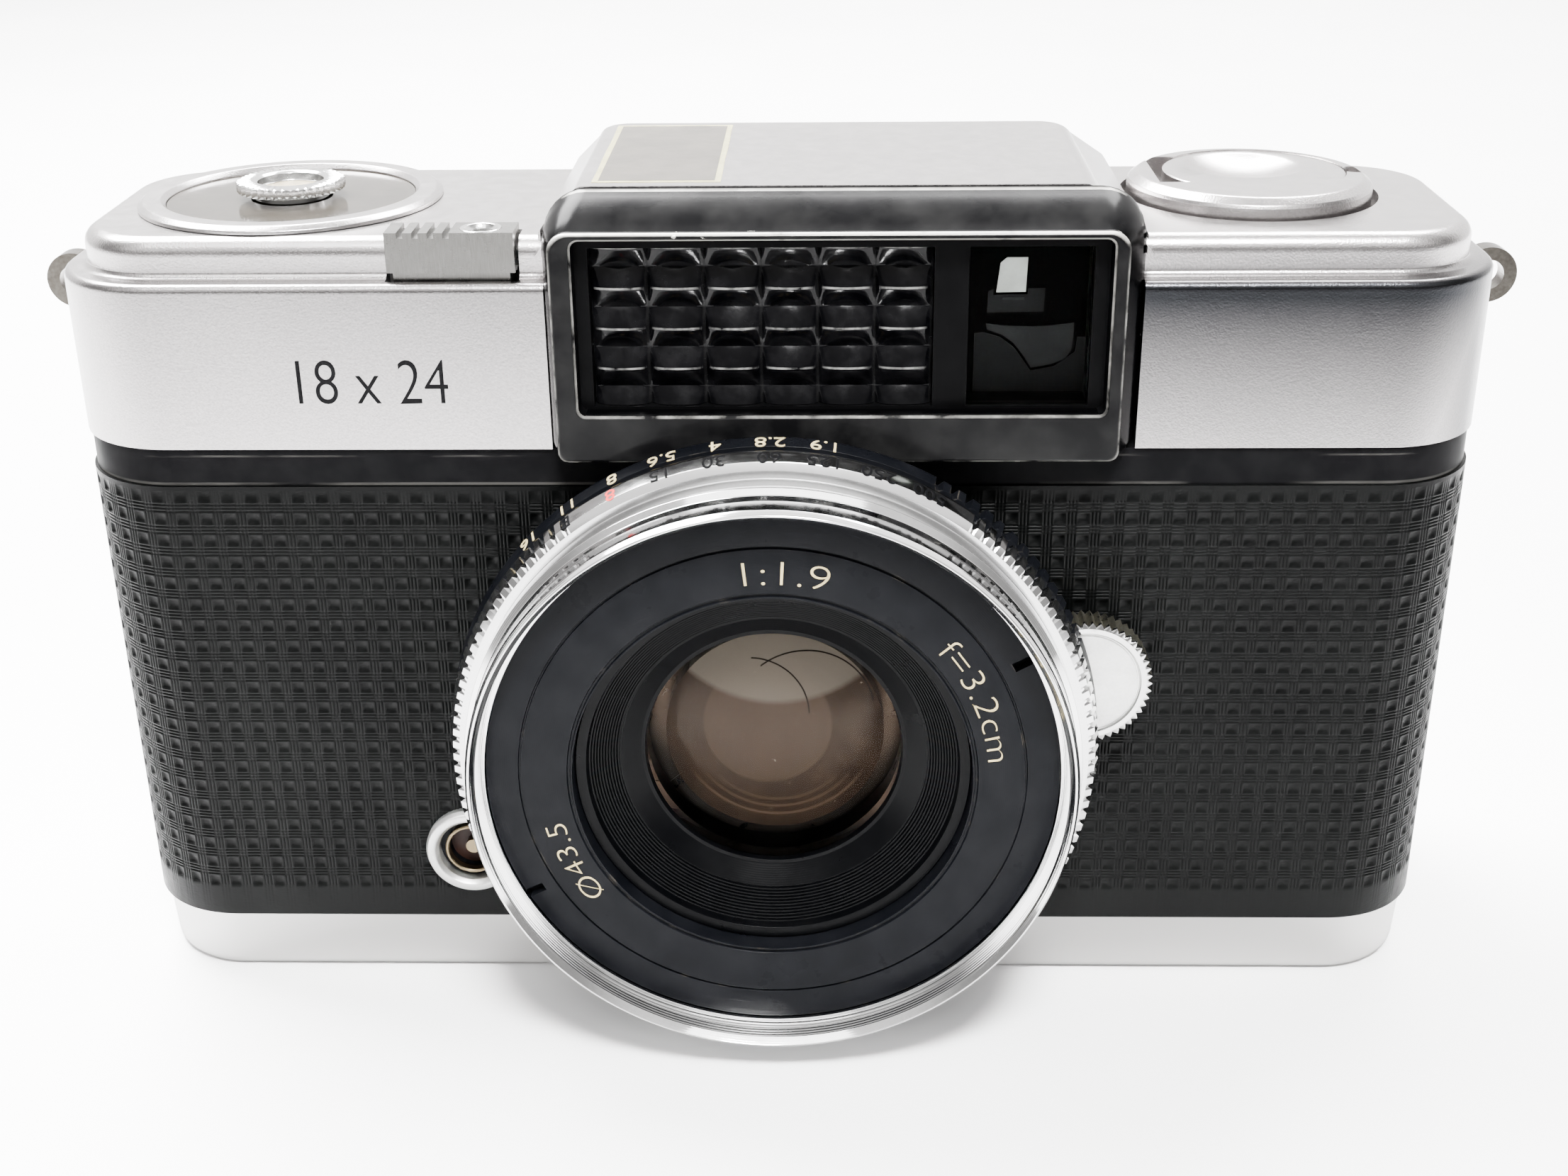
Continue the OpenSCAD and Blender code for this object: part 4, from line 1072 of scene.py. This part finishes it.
def notch_tool(r, ahead, angle):
    x, y, z = lens_point(r, ahead, angle)
    tool = solid_box("notch_tool", (-0.7, -0.6, -0.35), (0.7, 0.6, 0.35))
    tool.data.transform(Matrix.Translation(Vector((x, y, z)) * MM) @ Matrix.Rotation(-angle, 4, "Y"))
    return tool


def make_front_cell():
    """The cone round the front glass, with fine anti-reflection grooves."""
    profile = [(9.65, 1.6, 0), (14.5, 1.6, 0), (14.5, 9.42, 0.05), (13.75, 9.30, 0.05)]
    r = 13.6
    while r > 11.5:
        base = 6.1 + (r - 9.65) * 3.2 / 4.85
        profile += [(r, base, 0), (r - 0.10, base - 0.02, 0), (r - 0.12, base - 0.17, 0)]
        r -= 0.2
    profile += [(11.35, 7.22, 0.05), (9.95, 6.2, 0.1), (9.65, 6.2, 0.05)]
    made = turned("inner_cone", profile, "cone", 224, 20)
    put(made, "lens_unit", "black_anodised", "front_cell")


TEETH = 144
MARK_STEP = 9.3


def make_speed_ring():
    steps = TEETH * 6

    def toothed(r, h, a, i):
        if abs(sin(a)) < 0.80 and (i % 6) in (0, 1):
            return (min(r, 23.45), h)
        return (r, h)

    profile = [(21.76, 6.75, 0), (24.1, 6.75, 0.08), (24.1, 7.05, 0.05), (23.74, 8.05, 0.05),
               (23.2, 8.35, 0.06), (21.76, 8.35, 0)]
    made = turned("speed_dial", profile, "dial_chrome", steps, 24, change=toothed, fillet_steps=3)
    put(made, "speed", "polished_chrome", "speed_ring")
    marks = ("B", "8", "15", "30", "60", "125", "250", "500")
    for i, text in enumerate(marks):
        angle = radians(90 + MARK_STEP * (4 - i))
        key = "red_ink" if text == "8" else "dark_ink"
        mark = lettering("speed_" + text, text, 1.55, key, ring_place(23.92, 7.58, -0.36, angle), 0.04,
                         1.15)
        put(mark, "speed", "polished_chrome")


def make_aperture_ring():
    steps = 720

    def ribbed(r, h, a, i):
        turn = degrees(a)
        if 19 < turn < 63 and r > 23.9 and (turn - 19) % 3.0 > 1.75:
            return (23.75, h)
        return (r, h)

    profile = [(21.76, 4.45, 0), (24.28, 4.45, 0.06), (24.3, 4.7, 0.04), (24.0, 5.62, 0.06),
               (23.68, 5.66, 0.03),
               (23.66, 6.6, 0.06), (23.5, 6.7, 0.04), (21.76, 6.7, 0)]
    made = turned("aperture_dial", profile, "anodised", steps, 30, change=ribbed, fillet_steps=3)
    put(made, "aperture", "black_anodised", "aperture_ring")
    marks = ("1.9", "2.8", "4", "5.6", "8", "11", "16")
    for i, text in enumerate(marks):
        angle = radians(90 + MARK_STEP * (i - 1))
        place = ring_place(24.17, 5.14, -0.33, angle)
        mark = lettering("stop_" + text.replace(".", "_"), text, 1.45, "cream", place, 0.05, 1.3)
        put(mark, "aperture", "black_anodised")


def make_focus_knob():
    """The knurled thumb knob on the focusing ring: an olive knurl, a bright toothed rim and a pale face."""
    teeth = 50
    steps = teeth * 4
    place = facing(KNOB_AT, KNOB_HIGH.y)
    depth = KNOB_HIGH.y - KNOB_LOW.y
    outer = (KNOB_HIGH.x - KNOB_LOW.x) / 2
    notch = (0.0, 0.17, 0.36, 0.17)

    def knurled(r, h, a, i):
        return (r - notch[i % 4], h) if r > outer - 0.2 else (r, h)

    barrel = [(outer - 1.2, 0, 0), (outer, 0, 0.05), (outer, depth - 0.42, 0.02),
              (outer - 1.2, depth - 0.42, 0)]
    put(turned("focus_knurl", barrel, "knurl", steps, 30, place, knurled, 3), "focus", "satin_chrome",
        "focus_knob")
    rim = [(outer - 1.2, depth - 0.45, 0), (outer, depth - 0.45, 0), (outer, depth - 0.10, 0.02),
           (outer - 0.45, depth, 0.06),
           (outer - 0.85, depth, 0.06), (outer - 0.98, depth - 0.28, 0.06), (outer - 1.2, depth - 0.28, 0)]
    put(turned("focus_rim", rim, "polished", steps, 30, place, knurled, 3), "focus", "satin_chrome")
    disc = [(0.001, depth - 0.8, 0), (outer - 1.05, depth - 0.8, 0), (outer - 1.05, depth - 0.20, 0.10),
            (0.001, depth - 0.16, 0)]
    put(turned("focus_face", disc, "aluminium", 96, 30, place), "focus", "satin_chrome")


def make_flash_socket():
    """Rounded chrome rim, dark groove and inner tube of the flash socket."""
    outer = (SOCKET_HIGH.x - SOCKET_LOW.x) / 2
    place = facing(SOCKET_AT, FRONT)
    rim = [(outer - 1.15, -0.5, 0), (outer - 0.1, -0.5, 0), (outer - 0.1, 0.45, 0.1),
           (outer - 0.3, 0.88, 0.25), (outer - 0.85, 0.98, 0.3),
           (outer - 1.15, 0.55, 0.25)]
    put(turned("socket_rim", rim, "aluminium", 128, 40, place), "camera", "polished_chrome",
        "pc_socket_shell")
    well = [(1.9, -1.2, 0), (outer - 1.1, -1.2, 0), (outer - 1.1, -0.35, 0), (1.9, -0.35, 0)]
    put(turned("socket_well", well, "anodised", 96, 40, place), "camera", "black_anodised")
    tube = [(1.9, -0.6, 0), (2.2, -0.6, 0), (2.2, 0.25, 0.05), (2.1, 0.32, 0.04), (1.98, 0.32, 0.04),
            (1.9, 0.25, 0.03)]
    put(turned("socket_tube", tube, "old_brass", 96, 40, place), "camera", "polished_chrome")


# ---------- top controls ----------

def make_counter():
    centre = middle(BEZEL_LOW, BEZEL_HIGH)
    outer = (BEZEL_HIGH.x - BEZEL_LOW.x) / 2
    z0, z1 = BEZEL_LOW.z, BEZEL_HIGH.z
    place = upright(centre.x, centre.y)
    profile = [(9.4, z0, 0), (10.5, z0, 0), (10.5, TOP_Z + 0.05, 0), (outer, TOP_Z + 0.05, 0),
               (outer, TOP_Z + 0.28, 0.12),
               (outer - 0.45, z1, 0.35), (9.75, z1, 0.12), (9.4, z1 - 0.35, 0.1)]
    put(turned("counter_rim", profile, "satin", 192, 30, place), "camera", "satin_chrome", "counter_bezel")
    low, high = box("counter_knob")
    r = (high.x - low.x) / 2
    top = high.z
    teeth = 40

    def crown(radius, h, a, i):
        notch = (0.36, 0.18, 0.0, 0.18)[i % 4]
        if radius > r - 0.2 and h > top - 0.8:
            return (radius - notch, h)
        if radius > r - 0.45 and h > top - 0.02:
            return (radius, h - notch * 0.5)
        return (radius, h)

    profile = [(1.5, low.z, 0), (2.9, low.z, 0), (2.9, top - 0.85, 0.05), (r - 0.05, top - 0.80, 0.05),
               (r, top - 0.65, 0.05),
               (r, top - 0.12, 0.05), (r - 0.3, top, 0.06), (2.75, top, 0.08), (2.5, top - 0.15, 0.05),
               (2.45, top - 0.7, 0.1),
               (1.5, top - 0.75, 0)]
    made = turned("counter_crown", profile, "polished", teeth * 4, 30, place, crown, 3)
    put(made, "counter", "polished_chrome", "counter_knob")
    floor = solid_post("counter_crown_floor", centre.x, centre.y, low.z + 0.1, top - 0.7, 2.3, "worn_brass",
                       48)
    put(floor, "counter", "polished_chrome")


def make_rewind():
    x, y = Vector(REWIND_AT)
    outer = 9.2
    z0, z1 = REWIND_LOW.z, REWIND_HIGH.z
    profile = [(0.001, z0, 0), (outer - 0.15, z0, 0.05), (outer, z0 + 0.15, 0.05), (outer, z1 - 0.75, 0.1),
               (outer - 0.12, z1 - 0.5, 0.15),
               (outer - 0.75, z1 - 0.02, 0.5), (outer - 1.2, z1, 0.2), (0.001, z1, 0)]
    knob = turned("rewind_disc", profile, "satin", 224, 35, upright(x, y))
    cut(knob,
        solid_post("bed", x + 0.5, y + 0.9, z1 - 1.8, z1 + 1, 6.95, steps=160),
        solid_post("nail", x + 8.05, y + 0.5, z1 - 1.3, z1 + 1, 1.0, steps=40),
        solid_box("slit", (28.9, -2.7, z1 - 1.6), (31.2, 6.1, z1 + 1)))
    put_cut(knob, "rewind", "satin_chrome", "rewind_knob")
    plate_profile = [(0.001, z1 - 1.5, 0), (6.9, z1 - 1.5, 0), (6.9, z1 - 0.14, 0.05),
                     (6.8, z1 - 0.08, 0.04), (0.001, z1 - 0.08, 0)]
    plate = turned("crank_plate", plate_profile, "satin", 192, 35, upright(x + 0.5, y + 0.9))
    bowl_r, dish, steps = 9.2, 4.55, 14
    depth = bowl_r - sqrt(bowl_r ** 2 - dish ** 2)
    sphere = []
    for i in range(steps + 1):
        t = i / steps * dish * 1.12
        sphere.append((max(t, 0.001), z1 - 0.08 + bowl_r - depth - sqrt(bowl_r ** 2 - t ** 2), 0))
    sphere += [(dish * 1.12, z1 + 3, 0), (0.001, z1 + 3, 0)]
    bowl = turned("bowl", sphere, None, 128, 35, upright(x - 0.1, y + 2.6))
    cut(plate, bowl)
    put_cut(plate, "crank", "satin_chrome", "rewind_crank")


def outward(value, low, high, reach):
    """Moves a coordinate that lies on a side of the window out by reach, and leaves any other."""
    centre = (low + high) / 2
    if abs(value - centre) <= high - centre - 0.01:
        return value
    return value + (reach if value > centre else -reach)


def make_seal():
    """The yellowed cement round the meter window, with a ragged inner edge."""
    low, high = box("meter_window")
    steps = 40
    corners = ((low.x, low.y), (high.x, low.y), (high.x, high.y), (low.x, high.y))
    rings = []
    for out, z in ((0.48, HUMP_Z - 0.1), (0.42, HUMP_Z + 0.03), (-0.55, HUMP_Z + 0.045),
                   (-0.65, HUMP_Z - 0.1)):
        ring = []
        for i in range(4 * steps):
            k, t = i // steps, i % steps / steps
            (ax, ay), (bx, by) = corners[k], corners[(k + 1) % 4]
            x, y = ax + (bx - ax) * t, ay + (by - ay) * t
            ragged = 0.10 * sin(5.1 * x + 2.3 * y) * sin(2.9 * y - 1.7 * x + k)
            pull = out + (ragged if out < 0 else -ragged * 0.4)
            ring.append((outward(x, low.x, high.x, pull), outward(y, low.y, high.y, pull), z))
        rings.append(ring)
    put(loft("meter_seal", rings, "glue", 60, wrap=True), "camera", "window_plastic")


def make_release_socket():
    """The bright rim and the threaded wall of the cable release socket in the release bar."""
    top = RELEASE_HIGH.z
    profile = [(1.0, top - 1.6, 0), (1.48, top - 1.6, 0), (1.48, top + 0.02, 0), (1.42, top + 0.06, 0.03),
               (1.22, top + 0.02, 0.05)]
    for i in range(5):
        z = top - 0.15 - 0.28 * i
        profile += [(1.14, z, 0), (1.00, z - 0.14, 0)]
    put(turned("release_socket", profile, "polished", 64, 30, upright(*RELEASE_AT)), "release",
        "plain_steel")


def make_release_spring():
    """The return spring under the release bar: a coil of round wire."""
    x0, y0 = RELEASE_AT
    z0, z1, reach, wire = 49.5, 56.2, 1.28, 0.19
    turns, steps = 7, 7 * 28
    rings = []
    for i in range(steps + 1):
        a = 2 * pi * turns * i / steps
        z = z0 + wire + (z1 - z0 - 2 * wire) * i / steps
        ring = []
        for j in range(8):
            b = 2 * pi * j / 8
            r = reach + wire * cos(b)
            ring.append((x0 + r * cos(a), y0 + r * sin(a), z + wire * sin(b)))
        rings.append(ring)
    made = put(loft("release_coil", rings, "steel", 60), "camera", "plain_steel", "release_spring")
    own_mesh(made)


def make_nameplate():
    """A plain frame size in black fill where the front of the cover carries its lettering."""
    def place(x, y, h):
        return (-29.3 + x, FRONT - 0.01 - h, 51.3 + y)

    mark = lettering("frame_size", "18 x 24", 4.9, "dark_ink", place, 0.05, 0.80, offset=-0.012)
    put(mark, "camera", "satin_chrome")


# ---------- what stays as CAD, with edges and finishes ----------

KEPT = (
    ("band", 0, "main_casting back_panel"), ("selenium", 0, "selenium_cell"),
    ("window", 0, "finder_window"),
    ("matt_black", 0, "finder_tunnel"), ("meter_window", 0, "meter_window"),
    ("dial", 0, "meter_movement counter_dial"),
    ("red", 0, "meter_needle"), ("counter_window", 0.05, "counter_window"),
    ("brushed", 0.16, "release_bar"),
    ("steel", 0, "release_plunger"), ("steel", 0.05, "sprocket"), ("steel", 0.08, "rewind_shaft"),
    ("steel", 0.15, "tripod_socket"), ("black_plastic", 0, "rewind_collar"),
    ("black_plastic", 0.15, "takeup_spool"),
    ("black_plastic", 0.12, "advance_wheel pressure_plate"), ("brass", 0.04, "advance_gear"),
    ("nickel", 0.22, "strap_lugs"), ("insulator", 0.05, "pc_socket_insulator"),
    ("old_brass", 0.08, "pc_socket_pin"),
    ("anodised", 0, "shutter_case"), ("anodised", 0.05, "lens_mount"), ("anodised", 0.12, "focus_ring"),
    ("amber_glass", 0, "front_element"), ("lens_depth", 0, "front_doublet"),
    ("glass", 0, "rear_doublet rear_element"),
    ("blade", 0, "shutter_blades " + " ".join("aperture_blade_%d" % (i + 1) for i in range(5))),
    ("satin", 0.12, "lock_key"), ("polished", 0.08, "cover_screws"), ("polished", 0.1, "lock_handle"),
    ("polished", 0.15, "rewind_button"),
)


def finish_kept():
    for key, width, names in KEPT:
        for name in names.split():
            made = NODES[name]
            made.data.materials.clear()
            made.data.materials.append(PAINT[key])
            soften(made, 32)
            if width:
                round_edges(made, width)


# ---------- stage, light and camera ----------

def stage():
    bpy.ops.mesh.primitive_plane_add(size=6.0, location=(0, 0, 0))
    floor = bpy.context.object
    floor.name = "floor"
    paint = Paint("floor_paper_painted_shadow", Roughness=0.55)
    tone = paint.clouds(60, 3, 0.3, 0.7)
    paper = paint.blend(tone, (0.87, 0.87, 0.87), (0.91, 0.91, 0.91))
    x, y, _ = paint.axes(paint.place)
    # painted shadow: the floor is painted darker ahead of the object, more on the right
    ahead = paint.steps(y, -60 * MM, -200 * MM)
    side = paint.plus(paint.times(paint.steps(x, 0.0, 70 * MM), 0.55), 0.45)
    ahead = paint.times(ahead, side)
    paint.colour(paint.blend(ahead, paper, (0.20, 0.20, 0.205)))
    floor.data.materials.append(paint.finish())


def world():
    made = bpy.data.worlds.new("studio")
    bpy.context.scene.world = made
    made.use_nodes = True
    made.node_tree.nodes.clear()
    sky = Graph(made.node_tree)
    _, y, z = sky.axes(sky.node("TexCoord").outputs["Generated"])

    def span(value, low, high, to_low, to_high):
        return sky.steps(value, low, high, to_low, to_high, interpolation_type="SMOOTHSTEP")

    overhead = span(z, 0.45, 0.80, 0.0, 0.8)
    behind = span(y, -0.05, 0.50, 0.40, 3.1)
    ahead = span(y, -0.25, -0.65, 0.0, 1.0)
    raised = span(z, 0.20, 0.40, 0.0, 1.3)
    background = sky.node("Background")
    sky.put(background.inputs["Strength"], sky.plus(sky.plus(overhead, behind), sky.times(ahead, raised)))
    background.inputs["Color"].default_value = (1.0, 0.985, 0.975, 1)
    sky.put(sky.node("OutputWorld").inputs[0], background.outputs[0])


def lamp(name, place, target, size, power, spread=180):
    data = bpy.data.lights.new(name, "AREA")
    data.shape = "RECTANGLE"
    data.size, data.size_y = size
    data.energy = power
    data.spread = radians(spread)
    made = bpy.data.objects.new(name, data)
    bpy.context.scene.collection.objects.link(made)
    made.location = place
    made.rotation_euler = (Vector(target) - Vector(place)).to_track_quat("-Z", "Y").to_euler()


def lights():
    lamp("key", (-0.24, 0.24, 0.50), (-0.02, 0.12, 0.0), (0.36, 0.30), 15.0, spread=120)
    lamp("back_wash", (0.05, 0.60, 0.80), (0.0, 0.48, 0.0), (0.90, 0.40), 38.0, spread=150)
    lamp("front_pool", (0.04, -0.26, 0.42), (0.0, -0.03, 0.0), (0.12, 0.08), 0.50, spread=32)
    lamp("front_soft", (0.0, -0.22, 0.48), (0.0, -0.02, 0.03), (0.44, 0.28), 1.9)


def camera():
    data = bpy.data.cameras.new("view")
    made = bpy.data.objects.new("view", data)
    bpy.context.scene.collection.objects.link(made)
    data.sensor_fit = "HORIZONTAL"
    data.sensor_width = 36.0
    data.lens = 36.0 * 2780.0 / 2212
    data.clip_start = 0.01
    pitch, yaw, roll = radians(24.43), radians(1.50), radians(0.63)
    made.location = (0.00428, -0.15007, 0.09671)
    turn = Matrix.Rotation(yaw, 3, "Z") @ Matrix.Rotation(-pitch, 3, "X") @ Matrix.Rotation(roll, 3, "Y")
    look = turn @ Matrix.Rotation(pi / 2, 3, "X")
    made.rotation_euler = look.to_euler()
    bpy.context.scene.camera = made


camera()
world()
lights()
stage()
make_cover()
make_base()
LENS_HOLE = (0.0, LENS_Z, 21.9)
SOCKET_HOLE = (SOCKET_AT.x, SOCKET_AT.z, 3.5)
make_leather("front_skin", False, "camera", "front_leatherette", (LENS_HOLE, SOCKET_HOLE))
make_leather("back_skin", True, "back", "back_leatherette")
make_window_frame()
make_cell_window()
make_finder()
make_filter_ring()
make_name_ring()
make_front_cell()
make_speed_ring()
make_aperture_ring()
make_focus_knob()
make_flash_socket()
make_counter()
make_rewind()
make_seal()
make_release_socket()
make_release_spring()
make_nameplate()
make_eyepiece()
finish_kept()
